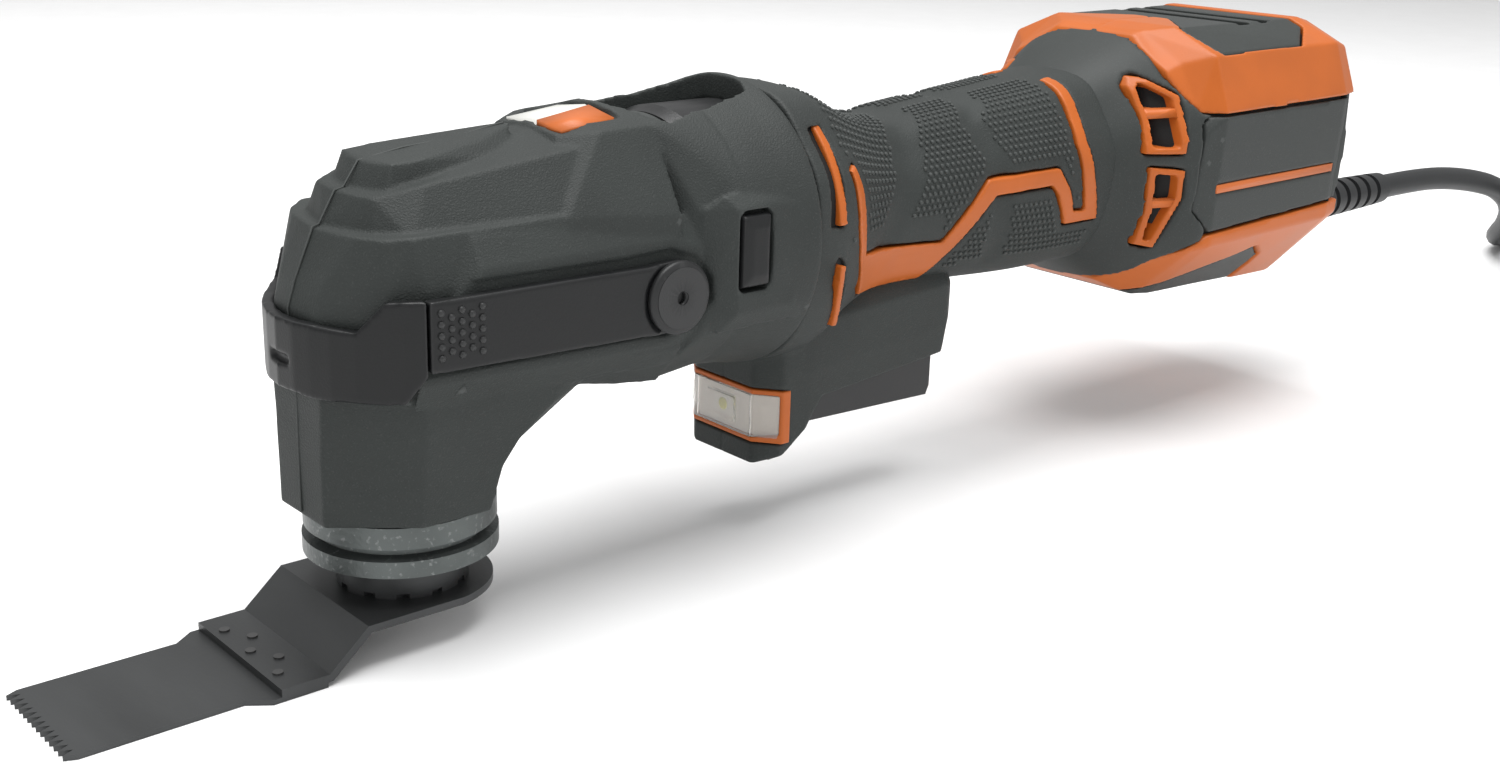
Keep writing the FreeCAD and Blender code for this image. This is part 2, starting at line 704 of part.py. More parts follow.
def head_rear():
    """Domed collar behind the shells and the sleeve that plugs into the handle."""
    dome = [
        ("sizes.collar_front", "sizes.spigot_radius"), ("sizes.collar_front", 29.8),
        ("sizes.collar_front + 4", 31.1), ("sizes.collar_front + 8", "sizes.rim_radius"),
        ("sizes.rim_x - 0.6", "sizes.rim_radius"), ("sizes.rim_x", "sizes.rim_radius - 0.8"),
        ("sizes.rim_x", "sizes.spigot_radius"),
    ]
    node("head_collar", turned("dome", dome, "X", (0, 0, AXIS)))
    front = "sizes.spigot_front"
    sleeve = [
        (front, "sizes.spigot_radius - 2.2"), (front, "sizes.spigot_radius - 1.2"),
        (f"{front} + 3", "sizes.spigot_radius"), ("sizes.spigot_end - 1", "sizes.spigot_radius"),
        ("sizes.spigot_end", "sizes.spigot_radius - 1"), ("sizes.spigot_end", "sizes.spigot_radius - 2.2"),
    ]
    node("head_sleeve", turned("sleeve", sleeve, "X", (0, 0, AXIS)))


def clamp_lever():
    """Lever that lies round the nose: two arms and the band that joins them."""
    inner, drop = "sizes.lever_inner", "sizes.lever_drop"
    arm_side = [
        (-7, -12.8), ("sizes.lever_x - 3", -12.6), ("sizes.lever_x - 3", 0.6), (-7, 0.4),
    ]
    band_plan = [
        (-5, 24.5), (-13.5, 22.2), (-21.5, 9.6), (-21.5, -9.6), (-13.5, -22.2), (-5, -24.5),
        (-5, -27.2), (-15, -24.6), (-24, 10.8 * -1), (-24, 10.8), (-15, 24.6), (-5, 27.2),
    ]
    band = plate("lever_band", "XY_Plane", band_plan, 43.2, 14.6)
    pieces = [band]
    for side in (-1, 1):
        tag = "left" if side > 0 else "right"
        start = "-sizes.lever_inner - sizes.lever_thick" if side > 0 else inner
        pieces.append(plate(
            f"lever_arm_{tag}", "XZ_Plane", arm_side, start, "sizes.lever_thick", (0, 0, AXIS)))
        low = inner if side > 0 else "-sizes.lever_inner - sizes.lever_thick"
        pieces.append(cylinder(f"lever_boss_{tag}", 7.3, "sizes.lever_thick", (
            "sizes.lever_x", low, f"sizes.axis_height + {drop}"), "Y"))
    way = cylinder("lever_bore", 3, 80, ("sizes.lever_x", -40, f"sizes.axis_height + {drop}"), "Y")
    node("clamp_lever", cut("lever", join("lever_form", *pieces), way))


def lever_pivots():
    """Capped pivot pins in the lever's arms, each with the cam that works the yoke."""
    at = ("sizes.lever_x", 0, "sizes.axis_height + sizes.lever_drop")
    pin = [(20.9, 0), (20.9, 3), (27.2, 3), (27.2, 6.1), (28.1, 6.1), (28.1, 1.4), (27, 1.4), (27, 0)]
    pivot = turned("pivot", [(radius, along) for along, radius in pin], "Z", at)
    pivot.Placement.Rotation = FreeCAD.Rotation(Vector(1, 0, 0), -90)
    disc = cylinder("cam_disc", 4, 1.8, (at[0], 19.1, at[2]), "Y")
    lobe = cylinder("cam_lobe", 2.5, 1.8, ("sizes.lever_x + 4", 19.1, at[2]), "Y")
    left = join("pivot_left", pivot, disc, lobe)
    node("lever_pins", group("pivot_pins", left, mirror("pivot_right", left)))


def release_buttons():
    """Buttons on both sides that free the head, each on a leaf spring."""
    left = box("button_pad", ("sizes.button_x - 3.9", 28.4, "sizes.axis_height - 7.4"), (
        "sizes.button_x + 3.9", 30.6, "sizes.axis_height + 8.7"))
    node("release_button_left", left)
    node("release_button_right", mirror("button_other", left))


# ---------------------------------------------------------------- handle

def handle():
    """Handle casing, its rubber grip and the coloured strips let into the grip."""
    skin = value("sizes.skin")
    core_sections = {
        x: (half if x < 103 else resized(half, -skin)) for x, half in HANDLE_SECTIONS.items()}
    core = lofted("handle_core", core_sections)
    pod = lofted("pod_form", POD_SECTIONS)
    grip_sections = {x: half for x, half in HANDLE_SECTIONS.items() if x > 103}
    grip = lofted("grip_form", grip_sections, 0, "sizes.grip_front + 0.3", "sizes.grip_end - 0.3")
    raised = lofted("strip_form", grip_sections, 0.35, "sizes.grip_front + 0.3", "sizes.grip_end - 0.3")
    space_sections = {x: half for x, half in HANDLE_SECTIONS.items() if x > 91}
    hollow = lofted("handle_hollow", space_sections, -(skin + value("sizes.wall")), "sizes.spigot_end + 3", 188)
    boss = cylinder("nose_boss", 13, 8, ("sizes.spigot_end + 2", 0, AXIS), "X")
    seat = cylinder("nose_seat", "sizes.race_radius", 8, ("sizes.nose_bearing", 0, AXIS), "X")
    way = cylinder("shaft_way", 6.5, 8, ("sizes.spigot_end", 0, AXIS), "X")
    space = join("handle_space", cut("boss_space", hollow, boss), seat, way)
    pod_space = lofted("pod_space", POD_SECTIONS, -value("sizes.wall"), LENS_BACK, 153.5)
    mouth = cylinder("handle_mouth", "sizes.spigot_radius + 0.08", "sizes.spigot_end - sizes.rim_x + 0.6", (
        "sizes.rim_x", 0, AXIS), "X")
    slot = box("trigger_way", (
        "sizes.trigger_front - 0.4", "-sizes.trigger_half - 0.4", 0), (
        "sizes.trigger_end + 0.4", "sizes.trigger_half + 0.4", 30))
    nose = lofted("nose_under", POD_SECTIONS, -1.6, LENS_BACK)
    window = box("lens_window", (81, -20, 12), (91, 20, 23.2))
    lens = common("lens_piece", cut("lens_layer", pod, nose), window)
    frame_window = box("bezel_window", (81, -20, 23.2), (91, 20, 27.6))
    bezel = common("bezel_piece", cut("bezel_layer", pod, nose), frame_window)
    node("led_lens", lens)
    node("led_bezel", bezel)
    casing = cut(
        "handle_casing", join("handle_form", core, pod), space, pod_space, mouth, slot, lens, bezel,
        handle_screws)
    split("handle_shell", casing)
    strips = []
    for index, corners in enumerate(strip_outlines()):
        strips.append(plate(f"strip_{index}", "XZ_Plane", corners, None, 80, (0, 0, AXIS)))
    layer = cut("strip_layer", raised, core, pod)
    inlay = common("inlay", layer, join("strip_plan", *strips))
    node("accent_strips", inlay)
    node("grip_sleeve", cut("grip", grip, core, pod, inlay))


def strip_outlines():
    """Side outlines of the coloured strip along the grip, in two runs."""
    band = [(108, -9), (132, -3.5), (141, 4.8), (165, 9.2), (175, -4), (178, -1), (167, 12.5),
            (139.5, 8.2), (130.5, -0.2), (108, -4.5)]
    return [band]


def trigger():
    """Switch trigger under the handle, with its return spring and switch."""
    side = [
        ("sizes.trigger_front", 13.2), ("sizes.trigger_end - 1", 11.8), ("sizes.trigger_end", 14),
        ("sizes.trigger_end", 24), ("sizes.trigger_front", 24),
    ]
    node("trigger", plate("trigger_form", "XZ_Plane", side, None, "sizes.trigger_half * 2"))
    node("switch_body", box("switch", (104, -8, 33), (138, 8, 41.5)))
    node("trigger_spring", spring("return_spring", 3, 0.4, 24.5, 8.1, 4, (120, 0)))


def led():
    """Small board behind the lens, with its lamp chip."""
    board = box("board", (87.6, -6, 13), (88.8, 6, 22.5))
    chip = box("chip", (86.2, -2, 16), (87.6, 2, 20))
    node("led_board", join("lamp_board", board, chip))


# ---------------------------------------------------------------- motor

def motor():
    """Universal motor: shaft, armature, commutator, fan, field, brushes and bearings."""
    stack, length = "sizes.stack_front", "sizes.stack_length"
    shaft = [
        ("sizes.coupling_front + 17", 0), ("sizes.coupling_front + 17", "sizes.shaft_radius"),
        (268, "sizes.shaft_radius"), (268, 0),
    ]
    bit = plate("bit", "YZ_Plane", hexagon(10.0), "sizes.coupling_front + 4", 13.5, (0, 0, AXIS))
    node("motor_shaft", join("long_shaft", turned("round_shaft", shaft, "X", (0, 0, AXIS)), bit))
    core = ring("core", "sizes.armature_radius", "sizes.shaft_radius", stack, length, "X", (0, AXIS))
    slots = []
    for index in range(12):
        angle = math.radians(30 * index)
        reach = value("sizes.armature_radius") - 2.6
        slots.append(cylinder(
            f"winding_slot_{index}", 1.7, length,
            (stack, reach * math.cos(angle), f"sizes.axis_height + {reach * math.sin(angle):.3f}"), "X"))
    ends = ring("winding_end", 13.5, "sizes.shaft_radius", f"{stack} + {length}", 5, "X", (0, AXIS))
    node("armature", group("wound_core", cut("slotted_core", core, *slots), ends))
    node("commutator", ring("segments", 10, "sizes.shaft_radius", 248, 11, "X", (0, AXIS)))
    hub = ring("fan_hub", 9, "sizes.shaft_radius", 199, 8, "X", (0, AXIS))
    disc = ring("fan_disc", "sizes.fan_radius", 8.9, 205.5, 1.5, "X", (0, AXIS))
    blades = []
    for index in range(9):
        fan_blade = plate(f"fan_blade_{index}", "YZ_Plane", [
            (8.5, -0.7), (value("sizes.fan_radius"), -0.7), (value("sizes.fan_radius"), 0.7), (8.5, 0.7),
        ], 200, 5.6)
        fan_blade.Placement.Rotation = FreeCAD.Rotation(Vector(1, 0, 0), 40 * index)
        blades.append(place(fan_blade, z=AXIS))
    node("cooling_fan", join("fan", hub, disc, *blades))
    field = ring(
        "field_ring", "sizes.stator_radius", "sizes.armature_radius + 6", stack, length, "X", (0, AXIS))
    poles = []
    for side in (-1, 1):
        low, high = sorted((15 * side, 25 * side))
        poles.append(box(f"pole_{low}", (stack, -11, f"{AXIS} + {low}"), (
            f"{stack} + {length}", 11, f"{AXIS} + {high}")))
    way = cylinder("field_way", "sizes.armature_radius + 0.8", length, (stack, 0, AXIS), "X")
    node("stator", cut("field", join("field_form", field, *poles), way))
    bore = "sizes.shaft_radius + sizes.fit_gap"
    node("motor_bearings", group("bearing_set", *[
        bearing(f"{tag}_race", bore, "sizes.race_radius", f"sizes.{tag}_bearing", "sizes.race_length", "X", AXIS)
        for tag in ("nose", "front", "rear")]))


def brushes():
    """Carbon brushes on both sides of the commutator, in their holders."""
    holders, carbons = [], []
    for side in (-1, 1):
        tag = "left" if side > 0 else "right"
        low, high = sorted((13 * side, 28 * side))
        block = box(f"holder_block_{tag}", (249, low, "sizes.axis_height - 6"), (
            258, high, "sizes.axis_height + 6"))
        way = box(f"holder_way_{tag}", (250.4, low, "sizes.axis_height - 3.2"), (
            256.6, high, "sizes.axis_height + 3.2"))
        holders.append(cut(f"holder_{tag}", block, way))
        low, high = sorted((10.1 * side, 22 * side))
        carbons.append(box(f"carbon_{tag}", (250.6, low, "sizes.axis_height - 3"), (
            256.4, high, "sizes.axis_height + 3")))
    node("brush_holders", group("holders", *holders))
    node("carbon_brushes", group("carbons", *carbons))


# ---------------------------------------------------------------- rear body

def rear_body():
    """Motor housing with its coloured guards, side panels, vents and rear cover."""
    skin, wall = value("sizes.skin"), value("sizes.wall")
    outer = lofted("body_form", BODY_SECTIONS)
    under = lofted("body_under", BODY_SECTIONS, -skin, None, "sizes.body_end - 1.8")
    hollow = lofted("body_hollow", BODY_SECTIONS, -(skin + wall), 186, "sizes.body_end - 4.2")
    space = cut("body_space", hollow, bearing_web("front"), bearing_web("rear"))
    front = box("shoulder_zone", (180, -60, 0), ("sizes.shoulder_end", 60, 120))
    shoulder = common("shoulder", outer, front)
    frames = vent_frames(outer)
    housing = cut("housing", join("housing_form", shoulder, under), space, frames, body_screws)
    split("motor_housing", housing)
    layer = cut("guard_layer", outer, join("guard_inside", under, shoulder))
    low, high = "sizes.axis_height + sizes.panel_low", "sizes.axis_height + sizes.panel_high"
    back = "sizes.guard_end"
    reach = 60
    top = box("top_zone", ("sizes.shoulder_end", -reach, high), (back, reach, 120))
    bottom = box("bottom_zone", ("sizes.shoulder_end", -reach, 0), (back, reach, low))
    sides = box("side_zone", ("sizes.shoulder_end", -reach, low), (back, reach, high))
    rear = box("rear_zone", (back, -reach, 0), (300, reach, 120))
    roof = box("roof_zone", (216, "-sizes.vent_half", 90), (260, "sizes.vent_half", 120))
    sole = box("sole_zone", (222, "-sizes.vent_half", 0), (256, "sizes.vent_half", 40))
    node("top_guard", cut("top_form", common("top_part", layer, top), roof))
    node("bottom_guard", cut("bottom_form", common("bottom_part", layer, bottom), sole))
    panels = common("panel_part", layer, sides)
    node("side_panels", panels)
    node("vent_panels", common("panel_pair", layer, join("panel_zones", roof, sole)))
    boss = cylinder("cord_boss", 8.8, "sizes.boss_end - 284", (284, 0, "sizes.boot_height"), "X")
    way = cylinder("boot_way", 6.45, 20, (294, 0, "sizes.boot_height"), "X")
    cover = join("cover_form", common("rear_part", layer, rear), cut("boss_form", boss, under))
    node("rear_cover", cut("cover", cover, way))


def bearing_web(tag):
    """Wall across the motor housing that holds a bearing, with four ways through for air."""
    start, length = f"sizes.{tag}_bearing", "sizes.race_length"
    disc = ring(f"{tag}_web", 45, "sizes.race_radius", start, length, "X", (0, AXIS))
    ways = []
    for index in range(4):
        angle = math.radians(90 * index)
        y, z = 16 * math.cos(angle), 16 * math.sin(angle)
        ways.append(cylinder(f"{tag}_air_{index}", 4, length, (start, y, f"{AXIS} + {z:.1f}"), "X"))
    return cut(f"{tag}_web_form", disc, *ways)


def vent_frames(outer):
    """Coloured louvre frames on both shoulders of the motor housing."""
    lip = lofted("vent_lip", BODY_SECTIONS, 0.5)
    under = lofted("vent_under", BODY_SECTIONS, -1.2)
    plan = [(189, 16), (196, 24), (204, 12), (200, 4), (199.5, -2), (203, -8), (196, -16), (191, -10)]
    prism = plate("vent_plan", "XZ_Plane", plan, None, 90, (0, 0, AXIS))
    sides = cut("vent_sides", prism, box("vent_gap", (180, -12, 0), (215, 12, 120)))
    layer = common("vent_layer", cut("vent_skin", lip, under), sides)
    slots = []
    for index, (x, z) in enumerate([(195, 13.5), (195.5, 8.5), (195.5, -6), (196, -11)]):
        slots.append(box(f"vent_slot_{index}", (x - 3.2, -60, value(AXIS) + z), (x + 4.2, 60, value(AXIS) + z + 3)))
    frames = cut("vent_form", layer, *slots)
    node("vent_frames", frames)
    return layer


# ---------------------------------------------------------------- cord

def cord_boot():
    """Tapered strain relief, ribbed along its outer half."""
    profile = [(294.5, 0), (294.5, 6.4), ("sizes.boss_end + 6", 6.3)]
    ribs = 6
    start, pitch = 322, 6.4
    for index in range(ribs):
        x = start + pitch * index
        radius = 6.0 - 0.16 * index
        profile += [(x, radius), (x, radius - 1.3), (x + 2.2, radius - 1.35), (x + 2.2, radius - 0.05)]
    profile += [("sizes.boot_end", 4.9), ("sizes.boot_end", 0)]
    node("cord_boot", turned("boot", profile, "X", (0, 0, "sizes.boot_height")))


def tube(name, route, radius):
    """A cord along straight runs joined by tangent arcs.  Returns its shape and its length."""
    points = [Vector(*point) for point in route]
    edges = []
    radii = []
    start = points[0]
    for before, corner, after in zip(points, points[1:], points[2:]):
        one, two = corner - before, after - corner
        turn = one.getAngle(two)
        short = min(one.Length, two.Length)
        back = 0.45 * short
        first = corner - Vector(one).normalize() * back
        last = corner + Vector(two).normalize() * back
        bend = back / math.tan(turn / 2)
        inward = (Vector(two).normalize() - Vector(one).normalize()).normalize()
        centre = corner + inward * math.hypot(back, bend)
        middle = centre - inward * bend
        edges.append(Part.LineSegment(start, first).toShape())
        edges.append(Part.Arc(first, middle, last).toShape())
        radii.append(round(bend, 1))
        start = last
    edges.append(Part.LineSegment(start, points[-1]).toShape())
    path = Part.Wire(edges)
    circle = Part.Wire(Part.makeCircle(radius, points[0], points[1] - points[0]))
    shape = path.makePipeShell([circle], True, False)
    thing = add("Part::Feature", name)
    thing.Shape = shape
    print(name, "length", round(path.Length, 1), "arc radii", radii,
          "volume ratio", round(shape.Volume / (math.pi * radius ** 2 * path.Length), 4))
    return thing


def cord():
    """The free cord: the run to the coil, the coil, its tie, the end run and the plug."""
    radius = value("sizes.cord_radius")
    runs = [tube("cord_run", CORD_ROUTE, radius), tube("plug_run", PLUG_ROUTE, radius)]
    node("power_cord", group("cord_runs", *runs))
    half = "sizes.coil_columns * sizes.cord_radius"
    height = "sizes.coil_layers * sizes.cord_radius * 2"
    floor = "sizes.floor_level"
    outer, inner = f"sizes.coil_mean + {half}", f"sizes.coil_mean - {half}"
    at = ("sizes.coil_x", "sizes.coil_y", 0)
    profile = [
        (inner, f"{floor} + 2.5"), (f"{inner} + 2.5", floor), (f"{outer} - 2.5", floor),
        (outer, f"{floor} + 2.5"), (outer, f"{floor} + {height} - 2.5"),
        (f"{outer} - 2.5", f"{floor} + {height}"), (f"{inner} + 2.5", f"{floor} + {height}"),
        (inner, f"{floor} + {height} - 2.5"),
    ]
    coil = turned("coil_form", profile, "Z", at)
    wide = "sizes.tie_width / 2"
    low = (f"sizes.coil_x - ({wide})", f"sizes.coil_y - ({outer}) - 1.3", floor)
    high = (f"sizes.coil_x + {wide}", f"sizes.coil_y - ({inner}) + 2.2", f"{floor} + {height} + 1.1")
    strap = box("tie_form", low, high)
    hole = box("tie_way", (
        f"{low[0]} - 1", f"{low[1]} + sizes.tie_thick", f"{floor} + sizes.tie_thick - 0.2"), (
        f"{high[0]} + 1", f"{high[1]} - sizes.tie_thick", f"{high[2]} - sizes.tie_thick"))
    node("cord_tie", cut("tie", strap, hole))
    under = box("tie_groove", low, (high[0], high[1], f"{floor} + sizes.tie_thick - 0.2"))
    node("cord_coil", cut("coil", coil, under))


def plug():
    """Two-pin plug lying beside the coil, with its own strain relief."""
    turn = FreeCAD.Rotation(Vector(0, 0, 1), PLUG_TURN)
    half, length = "sizes.plug_half", "sizes.plug_length"
    plan = [
        (0, -5.5), (6, -9.5), (f"{length} - 8", f"-({half}) + 1"), (f"{length} - 2", f"-({half})"),
        (length, f"-({half}) + 2"), (length, f"{half} - 2"), (f"{length} - 2", half),
        (f"{length} - 8", f"{half} - 1"), (6, 9.5), (0, 5.5),
    ]
    body = plate("plug_block", "XY_Plane", plan, "-sizes.plug_thick / 2", "sizes.plug_thick")
    nose = turned("plug_nose", [(-PLUG_NOSE, 0), (-PLUG_NOSE, 4.6), (0.5, 5.6), (0.5, 0)], "X")
    form = join("plug_form", body, nose)
    form.Placement.Rotation = turn
    node("plug_body", place(form, *PLUG_SPOT))
    blades = []
    for side, wide in ((-1, 3.15), (1, 3.95)):
        blades.append(box(f"blade_{side}", (
            length, 6.35 * side - 0.75, -wide), (f"{length} + 16.5", 6.35 * side + 0.75, wide)))
    pins = group("plug_pins", *blades)
    pins.Placement.Rotation = turn
    node("plug_blades", place(pins, *PLUG_SPOT))


saw_blade()
blade_holder()
blade_rivets()
spindle()
accessory_flange()
clamp_rod()
node("clamp_spring", spring("clamp_coil", 3.35, 0.45, "sizes.spring_floor + 0.5", 24.2, 11))
node("lower_spindle_bearing", bearing(
    "low_bearing", "sizes.spindle_foot_radius + sizes.fit_gap", "sizes.low_race_radius", 10, 8))
node("upper_spindle_bearing", bearing(
    "top_bearing", "sizes.spindle_neck_radius + sizes.fit_gap", "sizes.top_race_radius", 66, 4))
gear_case()
fork()
eccentric_shaft()
counterweight()
node("input_bearing", bearing(
    "shaft_bearing", "sizes.drive_radius + sizes.fit_gap", 9, "sizes.barrel_end - 6", 6, "X", AXIS))
drive_socket()
release_yoke()
head_shell()
head_rear()
clamp_lever()
lever_pivots()
release_buttons()
handle_screws = cross_screws("handle", [(112, 45.5), (150, 45.5), (178, 79), (92, 33.5)])
body_screws = cross_screws("body", [(212, 90.2), (264, 90.2), (208.4, 33), (264, 33.6)])
node("casing_screws", group("casing_fasteners", handle_screws, body_screws))
handle()
trigger()
led()
motor()
brushes()
rear_body()
cord_boot()
cord()
plug()

document.recompute()

faults = []
for thing in document.Objects:
    if "Invalid" in thing.State or "Error" in thing.State:
        faults.append(f"{thing.Label} {thing.State}")
for label, thing in nodes.items():
    shape = thing.Shape
    if shape.isNull() or not shape.isValid() or not shape.Solids:
        faults.append(f"{label} has no valid solid")
if faults:
    raise RuntimeError("; ".join(faults))

os.makedirs("parts", exist_ok=True)
for label, thing in nodes.items():
    thing.Shape.exportStep(f"parts/{label}.step")
print(len(nodes), "nodes written")
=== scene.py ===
import math

import bmesh
import bpy
from mathutils import Matrix, Vector
from mathutils.bvhtree import BVHTree


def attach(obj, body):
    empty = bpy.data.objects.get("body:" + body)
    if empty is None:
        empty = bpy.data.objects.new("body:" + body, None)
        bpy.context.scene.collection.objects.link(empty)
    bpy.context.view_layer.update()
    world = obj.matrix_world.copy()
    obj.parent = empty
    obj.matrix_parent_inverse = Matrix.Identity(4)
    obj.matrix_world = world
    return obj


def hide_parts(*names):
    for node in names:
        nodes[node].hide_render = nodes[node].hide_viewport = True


# Corded oscillating multi tool.  Shapes are written in millimetres and built in metres.
# X runs back along the handle, Y to the side that node names call left, and Z up from the
# accessory seat.
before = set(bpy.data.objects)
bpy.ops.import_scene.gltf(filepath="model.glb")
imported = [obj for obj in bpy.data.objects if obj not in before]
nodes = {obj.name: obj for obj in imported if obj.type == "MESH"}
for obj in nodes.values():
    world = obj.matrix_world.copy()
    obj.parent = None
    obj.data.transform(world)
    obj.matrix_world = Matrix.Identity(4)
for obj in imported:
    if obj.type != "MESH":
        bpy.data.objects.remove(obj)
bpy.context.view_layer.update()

MM = 0.001
AXIS = 61.1          # motor's axis above the accessory seat
FLOOR = -9.7         # underside of the blade
FAR = 60             # a place beyond the tool's sides, where cutting shapes end
RING_STEP = 5        # degrees between the points of a round outline


# ---------------------------------------------------------------- mesh helpers

def finished(bm, name):
    """A mesh object, in metres, from a bmesh in millimetres."""
    bmesh.ops.recalc_face_normals(bm, faces=bm.faces)
    for vert in bm.verts:
        vert.co *= MM
    mesh = bpy.data.meshes.new(name)
    bm.to_mesh(mesh)
    bm.free()
    piece = bpy.data.objects.new(name, mesh)
    bpy.context.collection.objects.link(piece)
    return piece


def hull(bm, points):
    """Adds the convex hull of some points, as a closed solid of its own."""
    verts = [bm.verts.new(point) for point in dict.fromkeys(tuple(p) for p in points)]
    bmesh.ops.convex_hull(bm, input=verts)
    for vert in verts:
        if vert.is_valid and not vert.link_faces:
            bm.verts.remove(vert)


def both(points):
    """The points and their mirror images across the tool's middle plane."""
    return list(points) + [(x, -y, z) for x, y, z in points]


def chain(bm, sections):
    """Solids between each outline and the next, each the hull of two."""
    for one, two in zip(sections, sections[1:]):
        hull(bm, list(one) + list(two))


def prism(bm, outline, along, low, high):
    """A straight prism: the outline is in the two other axes, in X, Y, Z order."""
    def point(a, b, c):
        return {"X": (c, a, b), "Y": (a, c, b), "Z": (a, b, c)}[along]
    ends = [[bm.verts.new(point(a, b, level)) for a, b in outline] for level in (low, high)]
    bm.faces.new(ends[0])
    bm.faces.new(reversed(ends[1]))
    count = len(outline)
    for index in range(count):
        after = (index + 1) % count
        bm.faces.new([ends[0][index], ends[0][after], ends[1][after], ends[1][index]])


def circle(x, z, radius, step):
    """A round outline, with its points a number of degrees apart."""
    return [(x + radius * math.cos(math.radians(angle)),
             z + radius * math.sin(math.radians(angle))) for angle in range(0, 360, step)]


def paired(bm, outline, near, far):
    """A prism of a side outline on each side of the tool."""
    for side in (-1, 1):
        low, high = sorted((near * side, far * side))
        prism(bm, outline, "Y", low, high)


def turned(bm, profile, along="X", centre=(0, 0, AXIS), steps=96):
    """A closed solid of revolution.  The profile is (place along the axis, radius)."""
    rings = []
    for place, radius in profile:
        ring = []
        for step in range(steps):
            angle = 2 * math.pi * step / steps
            one, two = radius * math.cos(angle), radius * math.sin(angle)
            offsets = {"X": (place, one, two), "Y": (one, place, two), "Z": (one, two, place)}
            ring.append(bm.verts.new(Vector(centre) + Vector(offsets[along])))
        rings.append(ring)
    for ring, following in zip(rings, rings[1:] + rings[:1]):
        for step in range(steps):
            after = (step + 1) % steps
            bm.faces.new([ring[step], ring[after], following[after], following[step]])


def grown(outline, amount):
    """A flat outline with every side moved outwards."""
    size = len(outline)
    area = sum(outline[i][0] * outline[(i + 1) % size][1]
               - outline[(i + 1) % size][0] * outline[i][1] for i in range(size))
    turn = 1 if area > 0 else -1
    made = []
    for index in range(size):
        a, b, c = (Vector(outline[(index + k) % size]) for k in (-1, 0, 1))
        one, two = (b - a).normalized(), (c - b).normalized()
        first = Vector((one.y, -one.x)) * turn
        second = Vector((two.y, -two.x)) * turn
        total = first + second
        made.append(tuple(b + total * (amount / max(0.35, 1 + first.dot(second)))))
    return made


def modified(piece, kind, **settings):
    """Adds a modifier with its settings."""
    modifier = piece.modifiers.new(kind.title(), kind)
    for key, value in settings.items():
        setattr(modifier, key, value)
    return modifier


def applied(piece):
    """The same piece with its modifiers made part of its mesh."""
    bpy.context.view_layer.update()
    seen = piece.evaluated_get(bpy.context.evaluated_depsgraph_get())
    mesh = bpy.data.meshes.new_from_object(seen)
    piece.modifiers.clear()
    old, piece.data = piece.data, mesh
    bpy.data.meshes.remove(old)
    return piece


def removed(piece):
    """Deletes a helper shape and its mesh."""
    mesh = piece.data
    bpy.data.objects.remove(piece)
    bpy.data.meshes.remove(mesh)


def boolean(piece, tool, operation="DIFFERENCE"):
    """Cuts a piece by a tool, or keeps what the two share."""
    modified(piece, "BOOLEAN", object=tool, operation=operation, solver="EXACT", use_self=True)
    return applied(piece)


def cut(piece, *tools):
    """Takes each tool's shape out of a piece and deletes the tool."""
    for tool in tools:
        boolean(piece, tool)
        removed(tool)


def kept(piece, tool):
    """Keeps only what a piece shares with a tool, and deletes the tool."""
    boolean(piece, tool, "INTERSECT")
    removed(tool)


def shaded(piece, material):
    """Gives a piece one material and smooth shading."""
    piece.data.materials.clear()
    piece.data.materials.append(material)
    for face in piece.data.polygons:
        face.use_smooth = True
    return piece


def belongs(piece, body, material, replaces=()):
    """Finishes a piece, hangs it on its body and hides the CAD nodes it stands in for."""
    shaded(piece, material)
    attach(piece, body)
    if replaces:
        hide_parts(*replaces)
    return piece


def moulded(piece, voxel=0.55, rounds=5):
    """Runs a piece's solids together and rounds their edges, as a moulding has them."""
    modified(piece, "REMESH", mode="VOXEL", voxel_size=voxel * MM, use_smooth_shade=True)
    modified(piece, "SMOOTH", factor=0.5, iterations=rounds)
    return applied(piece)


def built(name, make):
    """A piece from a function that fills a bmesh."""
    bm = bmesh.new()
    make(bm)
    return finished(bm, name)


def tube(name, kind, points, radius, steps):
    """A round curve along points, as a POLY or a NURBS spline."""
    curve = bpy.data.curves.new(name, "CURVE")
    curve.dimensions = "3D"
    line = curve.splines.new(kind)
    line.points.add(len(points) - 1)
    for spot, (x, y, z) in zip(line.points, points):
        spot.co = (x * MM, y * MM, z * MM, 1)
    curve.bevel_depth = radius * MM
    curve.bevel_resolution = steps
    piece = bpy.data.objects.new(name, curve)
    bpy.context.collection.objects.link(piece)
    return piece


def rounded(piece, width):
    """Bevels a piece's sharp edges."""
    modified(piece, "BEVEL", width=width * MM, segments=2, limit_method="ANGLE",
             angle_limit=math.radians(25), harden_normals=False)
    return piece


# ---------------------------------------------------------------- materials

def linked(tree, source, target):
    """Joins two sockets of a node tree."""
    tree.links.new(source, target)


